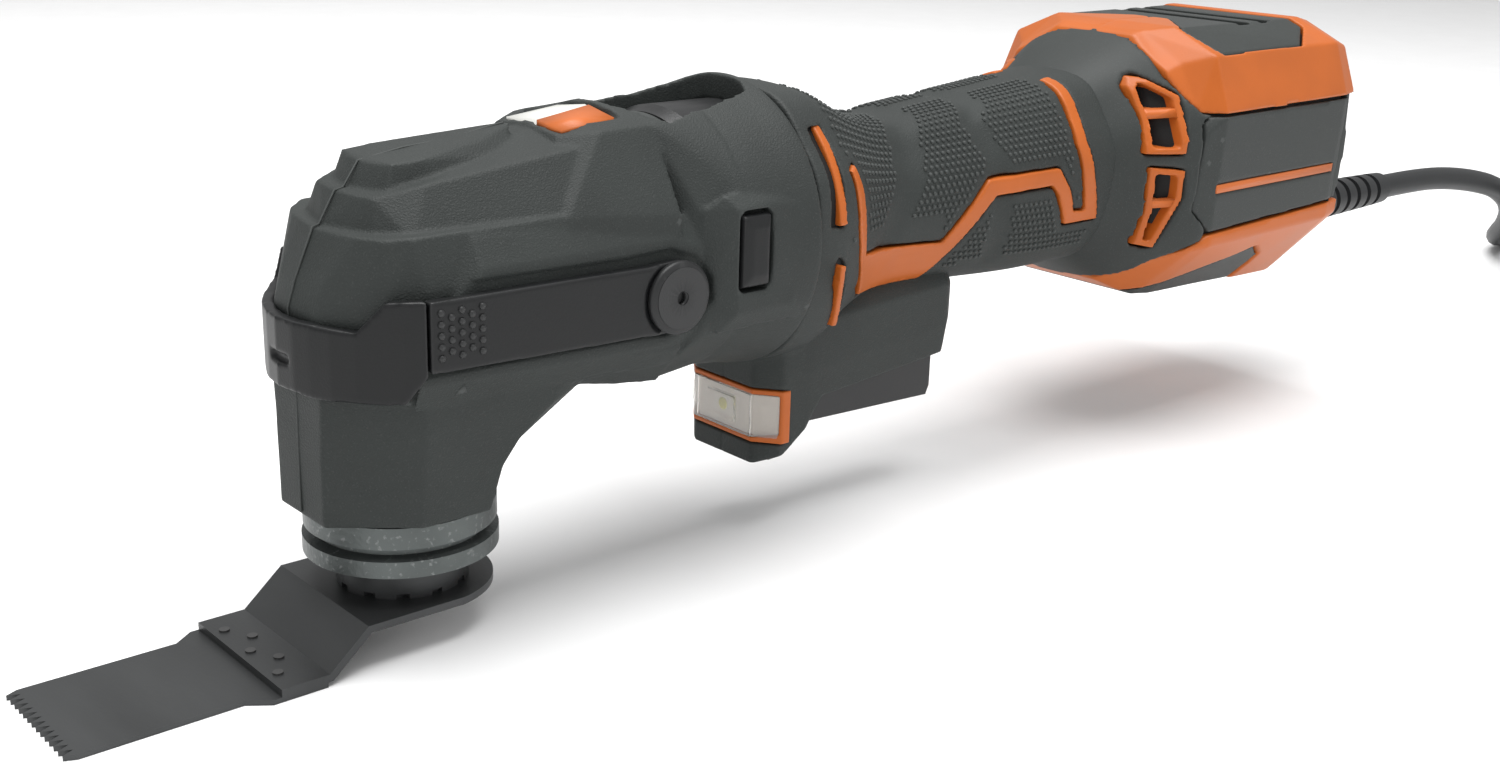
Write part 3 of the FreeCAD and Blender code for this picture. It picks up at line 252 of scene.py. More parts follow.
def material(name, colour, rough, metal=0.0, grain=1500, depth=0.03, mottle=0.12, wear=0.0,
             speck=0.0, streak=None):
    """A moulded or cast surface: grain, mottled colour and roughness, and wear on its edges."""
    made = bpy.data.materials.new(name)
    made.use_nodes = True
    tree = made.node_tree
    add = tree.nodes.new
    shader = tree.nodes["Principled BSDF"]
    shader.inputs["Metallic"].default_value = metal
    if not metal:
        shader.inputs["Specular IOR Level"].default_value = 0.3
    where = add("ShaderNodeTexCoord")
    source = where.outputs["Object"]
    if streak:
        stretch = add("ShaderNodeMapping")
        stretch.inputs["Scale"].default_value = streak
        linked(tree, source, stretch.inputs["Vector"])
        source = stretch.outputs["Vector"]
    cloud = add("ShaderNodeTexNoise")
    cloud.inputs["Scale"].default_value = 55
    cloud.inputs["Detail"].default_value = 5
    linked(tree, source, cloud.inputs["Vector"])
    tint = add("ShaderNodeValToRGB")
    tint.color_ramp.elements[0].position = 0.3
    tint.color_ramp.elements[1].position = 0.7
    tint.color_ramp.elements[0].color = (*[c * (1 - mottle) for c in colour], 1)
    tint.color_ramp.elements[1].color = (*[min(1, c * (1 + mottle)) for c in colour], 1)
    linked(tree, cloud.outputs["Fac"], tint.inputs["Fac"])
    shade = tint.outputs["Color"]
    fine = add("ShaderNodeTexNoise")
    fine.inputs["Scale"].default_value = grain
    fine.inputs["Detail"].default_value = 2
    linked(tree, source, fine.inputs["Vector"])
    if speck:
        dots = add("ShaderNodeValToRGB")
        dots.color_ramp.elements[0].position = 0.60
        dots.color_ramp.elements[1].position = 0.72
        linked(tree, fine.outputs["Fac"], dots.inputs["Fac"])
        mix = add("ShaderNodeMix")
        mix.data_type = "RGBA"
        mix.inputs[7].default_value = (*[min(1, c + speck) for c in colour], 1)
        linked(tree, dots.outputs["Color"], mix.inputs[0])
        linked(tree, shade, mix.inputs[6])
        shade = mix.outputs[2]
    if wear:
        geometry = add("ShaderNodeNewGeometry")
        edge = add("ShaderNodeValToRGB")
        edge.color_ramp.elements[0].position = 0.52
        edge.color_ramp.elements[1].position = 0.60
        edge.color_ramp.elements[1].color = (wear, wear, wear, 1)
        linked(tree, geometry.outputs["Pointiness"], edge.inputs["Fac"])
        mix = add("ShaderNodeMix")
        mix.data_type = "RGBA"
        mix.inputs[7].default_value = (*[min(1, c * 1.6 + 0.05) for c in colour], 1)
        linked(tree, edge.outputs["Color"], mix.inputs[0])
        linked(tree, shade, mix.inputs[6])
        shade = mix.outputs[2]
    linked(tree, shade, shader.inputs["Base Color"])
    rub = add("ShaderNodeMapRange")
    rub.inputs["To Min"].default_value = max(0.05, rough - 0.09)
    rub.inputs["To Max"].default_value = min(1, rough + 0.09)
    linked(tree, cloud.outputs["Fac"], rub.inputs["Value"])
    linked(tree, rub.outputs["Result"], shader.inputs["Roughness"])
    bump = add("ShaderNodeBump")
    bump.inputs["Strength"].default_value = 1.0
    bump.inputs["Distance"].default_value = depth * MM
    linked(tree, fine.outputs["Fac"], bump.inputs["Height"])
    linked(tree, bump.outputs["Normal"], shader.inputs["Normal"])
    return made


def clear(name, tint, rough):
    """Clear moulded plastic with slightly uneven polish."""
    made = bpy.data.materials.new(name)
    made.use_nodes = True
    tree = made.node_tree
    shader = tree.nodes["Principled BSDF"]
    shader.inputs["Base Color"].default_value = (*tint, 1)
    shader.inputs["Transmission Weight"].default_value = 0.85
    shader.inputs["IOR"].default_value = 1.49
    noise = tree.nodes.new("ShaderNodeTexNoise")
    noise.inputs["Scale"].default_value = 300
    reach = tree.nodes.new("ShaderNodeMapRange")
    reach.inputs["To Min"].default_value = rough
    reach.inputs["To Max"].default_value = rough + 0.15
    linked(tree, noise.outputs["Fac"], reach.inputs["Value"])
    linked(tree, reach.outputs["Result"], shader.inputs["Roughness"])
    return made


rubber = material("soft_rubber", (0.0255, 0.0295, 0.028), 0.62, grain=2700, depth=0.17, speck=0.014,
                  wear=0.4)
smooth_rubber = material("smooth_rubber", (0.0265, 0.0305, 0.029), 0.55, grain=3400, depth=0.05,
                         speck=0.02, wear=0.4)
hard_grey = material("hard_grey", (0.0285, 0.0325, 0.031), 0.52, grain=2600, depth=0.06, speck=0.02,
                     wear=0.4)
orange = material("orange_plastic", (0.43, 0.098, 0.012), 0.42, grain=2600, depth=0.02, mottle=0.07,
                  wear=0.25)
black = material("black_plastic", (0.0045, 0.005, 0.0055), 0.42, grain=2600, depth=0.03, wear=0.4)
# Near-black matt material for sheets set behind openings and gaps: painted shade.
painted_shade = material("painted_shade_backing", (0.006, 0.006, 0.006), 0.7, grain=1800, depth=0.03)
cast = material("cast_metal", (0.095, 0.105, 0.103), 0.42, metal=0.75, grain=900, depth=0.10,
                mottle=0.2, speck=0.08)
steel = material("bare_steel", (0.42, 0.42, 0.42), 0.34, metal=1.0, grain=1600, depth=0.02)
blued = material("black_steel", (0.050, 0.052, 0.053), 0.40, metal=0.55, grain=1900, depth=0.02,
                 mottle=0.2, streak=(1, 0.25, 1))
weld = material("weld_steel", (0.10, 0.10, 0.10), 0.4, metal=0.8, grain=1300, depth=0.04)
copper = material("copper", (0.62, 0.26, 0.12), 0.35, metal=1.0, grain=1500, depth=0.03)
brass = material("plug_brass", (0.72, 0.58, 0.30), 0.28, metal=1.0, grain=1500, depth=0.02)
carbon = material("carbon", (0.03, 0.03, 0.03), 0.6, grain=1500, depth=0.03)
cable = material("cord_rubber", (0.020, 0.021, 0.022), 0.45, grain=1700, depth=0.03)
white_label = material("label_white", (0.72, 0.72, 0.68), 0.4, grain=2000, depth=0.01, mottle=0.05)
lamp = material("lamp_phosphor", (0.85, 0.82, 0.25), 0.4, grain=1500, depth=0.02)
reflector = material("lamp_reflector", (0.75, 0.72, 0.68), 0.25, grain=900, depth=0.05, mottle=0.1)
lens = clear("lens_clear", (0.93, 0.90, 0.86), 0.05)


# ---------------------------------------------------------------- cord

CORD_ROUTE = [
    (362.7, 0, 36.5), (383, 0, 36.5), (404, 0, 35.4), (427, 0, 32.2), (449.5, 0, 27.2),
    (469, 2.5, 18.2), (486, 10.3, 7.3), (503.5, 22.3, -2.4), (522, 27.5, -5.85),
]
PLUG_ROUTE = [
    (525, 11.9, 17.4), (537.2, 22.1, 17.6), (552.3, 28.8, 17.2),
    (568.6, 30.9, 14.9), (584.2, 28.1, 10.6), (598.2, 20.9, 5.6), (609.7, 10.4, 1.2),
    (618.5, -1.5, -1.2), (624.5, -11.8, -1.2),
]
CORD_RADIUS = 3.85
COIL = Vector((551, -20.2))
COLUMNS = (47.7, 40.0, 32.3)


COIL_START, COIL_STEP = 90.0, 22.5       # degrees
FULL_LAYERS = 3


def coil_turns():
    """Control points of the coil: three columns of turns in each layer, wound clockwise."""
    layers = []
    for layer in range(FULL_LAYERS):
        order = COLUMNS if layer % 2 == 0 else COLUMNS[::-1]
        layers.append((layer, [(radius, 360) for radius in order]))
    layers.append((FULL_LAYERS, [(COLUMNS[2], 360), (COLUMNS[1], 270)]))
    points = []
    angle = COIL_START
    radius = COLUMNS[0]
    height = FLOOR + CORD_RADIUS
    first = True
    for layer, rounds in layers:
        for target, sweep in rounds:
            level = FLOOR + CORD_RADIUS * (1 + 2 * layer)
            for index in range(int(sweep / COIL_STEP)):
                share = 1.0 if first else min(1.0, (index + 1) / 3)
                here = radius + (target - radius) * share
                up = height + (level - height) * share
                turn = math.radians(angle)
                spread = 1 / math.cos(math.radians(COIL_STEP / 2))
                points.append((COIL.x + here * spread * math.cos(turn),
                               COIL.y + here * spread * math.sin(turn), up))
                angle -= COIL_STEP
            radius = target
            height = level
            first = False
    return points


def cord():
    """The whole lead as one spline, from the boot through the coil to the plug."""
    points = CORD_ROUTE + coil_turns() + PLUG_ROUTE
    lead = tube("power_lead", "NURBS", points, CORD_RADIUS, 4)
    line = lead.data.splines[0]
    line.order_u = 3
    line.use_endpoint_u = True
    line.resolution_u = 5
    lead.data.use_fill_caps = True
    lead.data.materials.append(cable)
    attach(lead, "handle")
    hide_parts("power_cord", "cord_coil")


cord()


# ---------------------------------------------------------------- head

NECK = {
    17.2: [(-20.7, 8.5), (-6.5, 19.5), (8, 19.5), (17.5, 7)],
    26: [(-20.7, 8.5), (-6.3, 20.2), (10.5, 20.2), (19.6, 8)],
    31: [(-20.7, 8.6), (-6.2, 20.8), (14, 20.8), (24.5, 9)],
    36: [(-20.6, 8.8), (-6, 21.4), (20, 21.4), (36, 11)],
    46: [(-20.6, 9.2), (-6, 22.0), (30, 22.4), (52, 14)],
}
NOSE = [
    (-20.6, 0, 42), (-20.0, 7.6, 42), (-15.3, 14.6, 42), (-12.0, 19.0, 42), (-6, 22.2, 42),
    (-21.2, 0, 57.5), (-20.2, 7.8, 56.8), (-15.5, 15.2, 57.2), (-12.2, 19.4, 57.5),
    (-6, 22.8, 57.5), (-19.6, 0, 62.3), (-18.6, 7.8, 62.3), (-14.6, 15.2, 62.3),
    (-11.8, 19.2, 62.3), (-6, 22.6, 62.5),
    (-15.5, 0, 71.4), (-14.5, 7.8, 71.4), (-13.6, 12, 71.5), (-11.2, 17.2, 71.6),
    (-7.4, 20.3, 72.2), (28, 24, 64), (28, 21.4, 72.6), (28, 24, 44), (34, 0, 74),
]
SECOND_TIER = [
    (-14.3, 0, 71.2), (-12.5, 7.2, 71.2), (-10.6, 12.6, 71.2), (-6.0, 18.4, 71.2), (26, 20.8, 72.3),
    (-10.9, 0, 77.6), (-10.2, 6.4, 77.6), (-9.3, 10.2, 77.6), (-0.8, 13.8, 79.7),
    (8.4, 14.3, 80.4), (34, 14.4, 83.6),
    (34, 0, 86.4), (34, 20, 70),
]
FIRST_TIER = [
    (-9.1, 0, 77.0), (-8.2, 5.6, 77.0), (-6.6, 9.9, 77.0), (5, 11.2, 78.6), (20, 8.5, 82),
    (-6.0, 0, 82.6), (-5.5, 5.0, 82.7), (-4.5, 9.0, 83.0), (1.4, 9.6, 83.5), (16.6, 5.8, 84.9),
    (26, 1, 86.7), (3.1, 0, 83.9), (11.2, 0, 84.5), (17.5, 0, 85.5), (10, 4, 75),
]
BLOCK = [
    (24.6, 21.9, 72.0), (37.0, 14.8, 85.9), (30, 10, 85.2), (30, 0, 86.4), (37, 10, 87.2),
    (37, 0, 88.2),
    (25, 23.6, 60), (25, 10, 60), (50, 24.0, 70), (50, 14.6, 86.2), (50, 10, 88.0), (50, 5, 89.3),
    (50, 0, 89.8), (50, 24.2, 58),
]
BARREL = [
    (24, 12, 37.4), (24, 22.4, 45), (24, 24, 60), (40, 16, 35.4), (40, 24, 43.5),
    (50, 16.5, 34.4), (50, 24.2, 43), (50, 24.4, 64), (30, 0, 36.0),
]
FLARE = [
    (49, 14.6, 86.2), (49, 10, 87.9), (49, 5, 89.2), (49, 0, 89.7), (54.8, 23.8, 70),
    (54.8, 24.2, 58),
    (52, 24.2, 43), (46, 16.3, 34.6),
]
DRUM_FRONT, DRUM_FRONT_RADIUS = 63.5, 29.3
PAD = [
    (60.5, 29.2, 49.5), (60.5, 29.2, 70.6), (75.5, 29.4, 49.8), (75.5, 29.4, 70.2),
    (55, 24.4, 70.3), (54, 24.4, 47), (58.5, 26.2, 73.4), (79, 27.6, 72.8), (79, 27.6, 46),
    (58, 26.0, 45), (70, 15, 60),
]
DRUM = [
    (60, 0), (60, 27.4), (63, 28.9), (66, 29.4), (74, 30.4), (78, 31.1), (80.6, 31.4),
    (81.5, 30.9), (81.5, 0),
]
WINDOW = [(47.0, -4), (50, -10), (54.0, -14.4), (61, -12.4), (77.5, -10), (79.4, -6), (79.4, 6),
          (77.5, 10), (61, 12.4), (54.0, 14.4), (50, 10), (47.0, 4)]
POCKET = [(-16, 64.4), (3.9, 64.2), (35.7, 63.6), (46.9, 64.0), (53.6, 61.6), (56.4, 57.1),
          (56.6, 52.2), (53, 48.2), (46, 46.4), (41, 46.9), (-10, 47.9), (-16, 46)]


def squared(low, high, soft):
    """A rectangle with its corners cut back."""
    (x0, z0), (x1, z1) = low, high
    return [(x0 + soft, z0), (x1 - soft, z0), (x1, z0 + soft), (x1, z1 - soft),
            (x1 - soft, z1), (x0 + soft, z1), (x0, z1 - soft), (x0, z0 + soft)]


def head():
    """Rubber-covered head: neck, stepped nose, drum and its domed rear."""
    def body(bm):
        levels = [both([(x, y, z) for x, y in NECK[z]]) for z in sorted(NECK)]
        chain(bm, levels)
        for points in (NOSE, SECOND_TIER, FIRST_TIER, BLOCK, BARREL):
            hull(bm, both(points))
        drum_rim = circle(0, AXIS, DRUM_FRONT_RADIUS, RING_STEP)
        hull(bm, both(FLARE) + [(DRUM_FRONT, y, z) for y, z in drum_rim])
        for side in (-1, 1):
            hull(bm, [(x, y * side, z) for x, y, z in PAD])
            rim = grown(POCKET, 1.6)
            hull(bm, [(x, y * side, z) for outline, y in ((rim, 24.6), (grown(POCKET, 7), 21.5))
                      for x, z in outline if x > -12])
        turned(bm, DRUM)

    def openings(bm):
        paired(bm, squared((60.6, 53.6), (69.2, 70.2), 1.2), 25.7, FAR)
        paired(bm, POCKET, 23.9, FAR)
        prism(bm, WINDOW, "Z", 80, 99)
        turned(bm, [(63, 0), (63, 25.9), (84, 25.9), (84, 0)])
        hull(bm, both([(31, 10.4, 85.2), (45.2, 10.4, 86.8), (31, 0, 86.1), (45.2, 0, 88.3),
                       (31, 10.4, 95), (45.2, 10.4, 95)]))

    form = built("head_cover", body)
    cut(form, built("head_openings", openings))
    moulded(form, 0.5, 3)
    belongs(form, "head", rubber, ("head_shell_left", "head_shell_right", "head_collar"))


def head_details():
    """Seam down the nose, pointer mark, window lining and the blank label."""
    profile = [(-20.9, 18), (-20.5, 40), (-21.3, 57.4), (-19.7, 62.3), (-15.7, 71.5),
               (-14.4, 71.9), (-11.1, 77.6), (-9.3, 78), (-6.2, 82.5), (3.1, 84.0),
               (11.2, 84.6), (17.5, 85.5), (25, 86.7)]
    seam = tube("nose_seam", "POLY", [(x, 0, z) for x, z in profile], 0.22, 2)
    seam.data.materials.append(smooth_rubber)
    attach(seam, "head")

    def lining(bm):
        turned(bm, [(49, 18), (49, 22.5), (52, 24.6), (58.5, 24.9), (59.5, 24.2), (59.5, 18)])

    window = built("window_lining", lining)
    kept(window, built("window_shape", lambda bm: prism(bm, grown(WINDOW, 0.4), "Z", 78, 99)))
    belongs(window, "head", rubber)

    def pointers(bm):
        for side in (-1, 1):
            hull(bm, [(x, y * side, z) for x, y, z in (
                (-1.2, 23.1, 43.2), (1.2, 23.1, 43.2), (0, 24.3, 45.4),
                (-1.2, 21, 43.2), (1.2, 21, 43.2), (0, 21, 45.4))])

    mark = built("pointer_marks", pointers)
    belongs(mark, "head", smooth_rubber)

    def sticker(bm):
        hull(bm, both([(32, 9.4, 85.9), (44.2, 9.4, 87.3), (32, 0, 86.8), (44.2, 0, 88.7),
                       (32, 9.4, 85), (44.2, 9.4, 85)]))

    label = built("head_label", sticker)
    belongs(label, "head", white_label, ("label_plate",))

    def half_sticker(bm):
        hull(bm, [(31.9, -9.5, 85.95), (44.3, -9.5, 87.35), (31.9, -1.2, 86.8), (44.3, -1.2, 88.75),
                  (31.9, -9.5, 85), (44.3, -9.5, 85), (31.9, -1.2, 85), (44.3, -1.2, 85)])

    belongs(built("label_panel", half_sticker), "head", orange)


def buttons():
    """Black release buttons, each domed, in the raised pads."""
    for side, tag in ((-1, "right"), (1, "left")):
        def form(bm):
            hull(bm, [(x, y * side, z) for x, y, z in (
                (61.2, 28.2, 54.3), (68.6, 28.2, 54.3), (61.2, 28.2, 69.5), (68.6, 28.2, 69.5),
                (61.6, 29.4, 54.9), (68.2, 29.6, 54.9), (61.6, 29.4, 68.9), (68.2, 29.6, 68.9),
                (63.5, 30.0, 57), (67.4, 30.2, 57), (63.5, 30.0, 66.8), (67.4, 30.2, 66.8))])
        button = moulded(built(f"release_pad_{tag}", form), 0.35, 4)
        belongs(button, f"button_{tag}", black, (f"release_button_{tag}",))


head()
head_details()
buttons()


# ---------------------------------------------------------------- lever

# Stations round the near half of the lever: outer place, inner place, lower and upper edge.
LEVER_BAND = [
    ((-24.0, 0), (-21.7, 0), 43.1, 56.4),
    ((-23.3, 4.8), (-21.2, 4.2), 43.0, 56.3),
    ((-22.0, 8.6), (-19.9, 7.8), 42.6, 56.3),
    ((-20.2, 12.8), (-18.2, 11.5), 42.8, 56.2),
    ((-17.6, 17.2), (-15.6, 15.6), 43.0, 56.0),
    ((-14.0, 21.8), (-12.4, 20.0), 43.2, 61.9),
    ((-12.0, 24.3), (-10.8, 22.4), 43.6, 62.2),
    ((-8.7, 26.9), (-8.2, 24.4), 48.9, 62.4),
]
BAND_TOP = 56.4
FAR_RISE = -10       # the band's far side rises to its arm behind this place
LEVER_PIVOT = (46.9, 54.7)
ARM_RECESS = 8.1     # radius of the round recess for the pivot's disc
FIRST_BUMP = (-6.2, 51.9)
BUMP_PITCH, BUMP_RISE = 2.1, 2.05
LEVER_ARM = [(-8.2, 49.2), (38, 48.0), (44, 47.6), (50, 48), (54, 51.5), (54.4, 56), (52, 60.2),
             (47.6, 62), (40, 61.6), (20, 61.9), (-8.2, 62.2)]


def lever():
    """Clamp lever: the band round the nose, the arms and their textured pads."""
    def form(bm):
        for side in (-1, 1):
            stations = []
            for outer, inner, low, high in LEVER_BAND:
                if side > 0 and outer[0] < FAR_RISE:
                    high = min(high, BAND_TOP)
                stations.append([(x, y * side, z) for x, y in (outer, inner) for z in (low, high)])
            chain(bm, stations)

    def slot(bm):
        prism(bm, [(-30, 47.8), (-22.6, 47.8), (-22.6, 49.6), (-30, 49.6)], "Y", -3.2, 3.2)

    band = built("lever_band", form)
    cut(band, built("band_slot", slot))
    moulded(band, 0.42, 4)
    belongs(band, "lever", black, ("clamp_lever",))

    def arms(bm):
        paired(bm, LEVER_ARM, 24.6, 27.1)

    def recess(bm):
        paired(bm, circle(*LEVER_PIVOT, ARM_RECESS, 2 * RING_STEP), 26.6, 30)

    pair = built("lever_arms", arms)
    cut(pair, built("arm_recess", recess))
    moulded(pair, 0.42, 3)
    belongs(pair, "lever", black)

    def bumps(bm):
        for side in (-1, 1):
            for row in range(5):
                for column in range(5):
                    x = FIRST_BUMP[0] + column * BUMP_PITCH
                    z = FIRST_BUMP[1] + row * BUMP_RISE + (1.0 if column % 2 else 0)
                    if z > 61:
                        continue
                    base = [(u, 27.0 * side, v) for u, v in circle(x, z, 0.85, 60)]
                    tip = [(u, 27.5 * side, v) for u, v in circle(x, z, 0.55, 60)]
                    hull(bm, base + tip)

    belongs(built("lever_bumps", bumps), "lever", black)

    def discs(bm):
        for side in (-1, 1):
            profile = [(26.7, 1.3), (26.7, 7.3), (27.6, 7.3), (28.0, 6.9), (28.0, 4.3),
                       (27.8, 4.1), (27.8, 3.8), (28.0, 3.6), (28.0, 1.9), (27.7, 1.3)]
            turned(bm, [(y * side, r) for y, r in profile], "Y",
                   (LEVER_PIVOT[0], 0, LEVER_PIVOT[1]), 64)

    belongs(built("lever_discs", discs), "lever", black)


lever()


# ---------------------------------------------------------------- handle

# Half outlines from the bottom to the top, as (out from the middle, above the motor's axis).
HANDLE_SECTIONS = {
    82.2: [(13, -28.8), (26, -15), (29.3, 8), (23, 20), (12, 28.8)],
    92: [(13, -28), (25.6, -14.5), (28.6, 8), (22, 19.5), (12, 27.8)],
    104: [(11, -23), (20.5, -12), (23, 6), (18.5, 16), (10, 22.5)],
    114: [(10, -19.8), (18, -10.5), (20.2, 4), (16.3, 13), (9, 19.4)],
    124: [(10, -19), (17.5, -10), (19.8, 4), (16, 12.5), (8.5, 18.9)],
    147: [(10, -20.5), (18.5, -11), (21, 4), (17, 13.5), (9, 20.7)],
    166: [(10, -21.5), (19.5, -12), (22, 4), (18, 14.5), (9.5, 22.4)],
    187: [(10, -21.5), (20, -12), (23.5, 5), (19, 16), (10, 24.6)],
}
POD_SECTIONS = {
    88: [(10, -54.5), (14.5, -52), (15.5, -33), (15.5, -22), (10, -14)],
    95: [(9.5, -50), (14.5, -47), (16, -33), (16, -22), (10, -14)],
    99: [(9, -42.5), (15, -40), (16, -33), (16, -22), (10, -14)],
    138.5: [(9, -38.5), (14.5, -37), (15.5, -30), (15.5, -20), (10, -12)],
    141.5: [(8, -36), (12.5, -34), (13.5, -28), (13.5, -20), (9, -12)],
}
BODY_SECTIONS = {
    187: [(10, -21.5), (20, -12), (23.5, 5), (19, 16), (10, 24.6)],
    197: [(14, -28), (27, -17), (30, 8), (21.6, 22.8), (10.8, 29.9)],
    208: [(18, -33), (34, -18), (35.5, 12), (25.2, 28), (12.5, 35)],
    214: [(19, -33.5), (36, -17), (37.4, 16), (32, 30.5), (19, 36.3)],
    268: [(20, -34.5), (36.3, -16), (38, 17), (33, 31), (20, 36.5)],
    276: [(18.5, -33.2), (34.5, -15.6), (36.0, 16.4), (31, 29.4), (18.5, 35)],
}


def closed(half, grow=0.0):
    """A whole outline across the tool from its half, moved outwards by an amount."""
    loop = [(y, z) for y, z in half] + [(-y, z) for y, z in reversed(half)]
    return [(y * (1 + grow / math.hypot(y, z)), z * (1 + grow / math.hypot(y, z)) + AXIS)
            for y, z in loop]


def spline(points, count):
    """A closed smooth curve through points of any size, a number of steps for each."""
    made = []
    size = len(points)
    for index in range(size):
        a, b, c, d = (points[(index + k) % size] for k in (-1, 0, 1, 2))
        for step in range(count):
            t = step / count
            made.append(tuple(0.5 * (2 * q + (r - p) * t + (2 * p - 5 * q + 4 * r - s) * t * t
                                     + (3 * q - p - 3 * r + s) * t ** 3)
                              for p, q, r, s in zip(a, b, c, d)))
    return made


def eased(sections, x):
    """The half outline at a place between the given ones, changing smoothly."""
    places = sorted(sections)
    spot = max(0, min(len(places) - 2, sum(place <= x for place in places) - 1))
    low, high = places[spot], places[spot + 1]
    t = (x - low) / (high - low)

    def slope(index, point, axis):
        before, after = max(0, index - 1), min(len(places) - 1, index + 1)
        rise = sections[places[after]][point][axis] - sections[places[before]][point][axis]
        return rise / (places[after] - places[before]) * (high - low)

    half = []
    for point in range(len(sections[low])):
        pair = []
        for axis in (0, 1):
            p, q = sections[low][point][axis], sections[high][point][axis]
            m, n = slope(spot, point, axis), slope(spot + 1, point, axis)
            pair.append(p * (2 * t ** 3 - 3 * t ** 2 + 1) + m * (t ** 3 - 2 * t ** 2 + t)
                        + q * (3 * t ** 2 - 2 * t ** 3) + n * (t ** 3 - t ** 2))
        half.append(tuple(pair))
    return half


def loft(bm, rings):
    """A skin through outlines of equal counts, closed at both ends.  A ring is (x, outline)."""
    made = [[bm.verts.new((x, y, z)) for y, z in outline] for x, outline in rings]
    for ring, following in zip(made, made[1:]):
        count = len(ring)
        for index in range(count):
            after = (index + 1) % count
            bm.faces.new([ring[index], ring[after], following[after], following[index]])
    bm.faces.new(made[0])
    bm.faces.new(list(reversed(made[-1])))


def smooth_ring(sections, x, grow=0.0, place=None):
    """A smooth outline across the tool at x, shaped as the sections are at a place."""
    return x, spline(closed(eased(sections, x if place is None else place), grow), 8)


def faceted(bm, sections, grow=0.0, low=None, high=None):
    """A hard-edged moulding through the sections, or through a part of them."""
    places = sorted(sections)
    low = places[0] if low is None else low
    high = places[-1] if high is None else high
    inner = [place for place in places if low < place < high]
    rings = []
    for x in [low, *inner, high]:
        before = max(place for place in places if place <= x)
        after = min(place for place in places if place >= x)
        share = 0 if before == after else (x - before) / (after - before)
        half = [tuple(p + (q - p) * share for p, q in zip(one, two))
                for one, two in zip(sections[before], sections[after])]
        rings.append((x, closed(half, grow)))
    loft(bm, rings)


def rounded_grip(bm, grow=0.0, low=90.0, high=190.0, hollows=True):
    """The grip: smooth, oval across, with two shallow slanting bands round it."""
    rings = []
    steps = int((high - low) / 1.5)
    for index in range(steps + 1):
        x = low + (high - low) * index / steps
        loop = spline(closed(eased(HANDLE_SECTIONS, min(x, 187)), grow), 8)
        ring = []
        for y, z in loop:
            dip = band_depth(x, z) if hollows else 0
            reach = math.hypot(y, z - AXIS)
            scale = 1 - dip / reach
            ring.append((y * scale, AXIS + (z - AXIS) * scale))
        rings.append((x, ring))
    loft(bm, rings)


# Middles of the grip's smooth bands, as (height, place along), and their half widths.
BANDS = (
    ([(45, 107), (58, 113), (68, 119), (78, 122.5), (84, 131)], 5.0),
    ([(45, 151), (66, 149), (78.8, 144.5), (84, 151)], 3.6),
)


def band_place(x, z):
    """How far a place is from the nearest smooth band, in half widths."""
    nearest = 99.0
    for line, half in BANDS:
        for (z0, x0), (z1, x1) in zip(line, line[1:]):
            if z0 <= z <= z1:
                middle = x0 + (x1 - x0) * (z - z0) / (z1 - z0)
                nearest = min(nearest, abs(x - middle) / half)
    return nearest


def band_depth(x, z):
    """How deep the grip dips at a place on its smooth bands."""
    away = band_place(x, z) / 1.35
    return 0.9 * (1 - away ** 2) ** 2 if away < 1 else 0.0


def cutter(name, outlines, near, far):
    """Prisms of side outlines, on both sides of the tool."""
    def form(bm):
        for outline in outlines:
            paired(bm, outline, near, far)
    return built(name, form)


# The orange line's outline on the grip's side, and the values of the grip's dots.
STRIP = [
    (106.5, 43.8), (99.2, 55), (96.2, 62), (94.6, 68.4), (93.2, 74.4), (95.4, 75.4), (97.2, 70.4),
    (98.6, 66.3), (101.0, 59.0), (102.6, 54.6), (131.8, 52.6), (144.0, 66.2), (168.0, 66.6),
    (172.6, 60.9), (175.0, 55.3), (179.4, 55.0), (177.2, 62.4), (175.2, 71.3), (175.8, 80),
    (177.0, 95), (180.2, 95), (179.2, 80), (178.4, 72), (180.8, 63.1), (185.0, 52.2), (173.0, 52.2),
    (168.5, 60.2), (166, 62.6), (146.6, 62.2), (129.4, 43.4),
]
GRIP_RADIUS = 20.5
DOTS_START, DOTTED_LENGTH = 93.5, 92
DOT_PITCH = 1.7
DOT_ROWS = 0.866     # distance between rows, in pitches
DOT_FOOT, DOT_TOP = 0.62, 0.40           # radii
DOT_HEIGHT, DOT_SINK = 0.42, 0.15
UPPER_SLOT = [(85.4, 83.4), (85.4, 63.6), (89.6, 63.6), (89.6, 83.4)]
LOWER_SLOT = [(88.4, 57.6), (91.3, 55.6), (92.8, 50.5), (97.6, 39.6), (93.4, 39.6), (88.4, 51.4)]


def inside(x, z, outline):
    """Whether a place is within a side outline."""
    odd = False
    for index, (x0, z0) in enumerate(outline):
        x1, z1 = outline[index - 1]
        if (z0 > z) != (z1 > z) and x < (x1 - x0) * (z - z0) / (z1 - z0) + x0:
            odd = not odd
    return odd


def plain_area(spot, blocked):
    """Whether a spot on the grip stays free of dots."""
    if band_place(spot.x, spot.z) < 1 or abs(spot.y) < 2.2 or spot.z < 46:
        return True
    if inside(spot.x, spot.z, blocked) or (spot.z < 60 and spot.x < 131):
        return True
    return spot.x > 183 or (spot.x > 173 and spot.z > 60)


def dot(bm, spot, normal):
    """One six-sided dot that stands on the grip's surface."""
    side = normal.cross(Vector((1, 0, 0))).normalized()
    up = normal.cross(side)
    foot = []
    top = []
    for corner in range(6):
        turn = math.radians(60 * corner)
        out = side * math.cos(turn) + up * math.sin(turn)
        foot.append(bm.verts.new(spot + out * DOT_FOOT - normal * DOT_SINK))
        top.append(bm.verts.new(spot + out * DOT_TOP + normal * DOT_HEIGHT))
    bm.faces.new(top)
    bm.faces.new(list(reversed(foot)))
    for corner in range(6):
        after = (corner + 1) % 6
        bm.faces.new([foot[corner], foot[after], top[after], top[corner]])


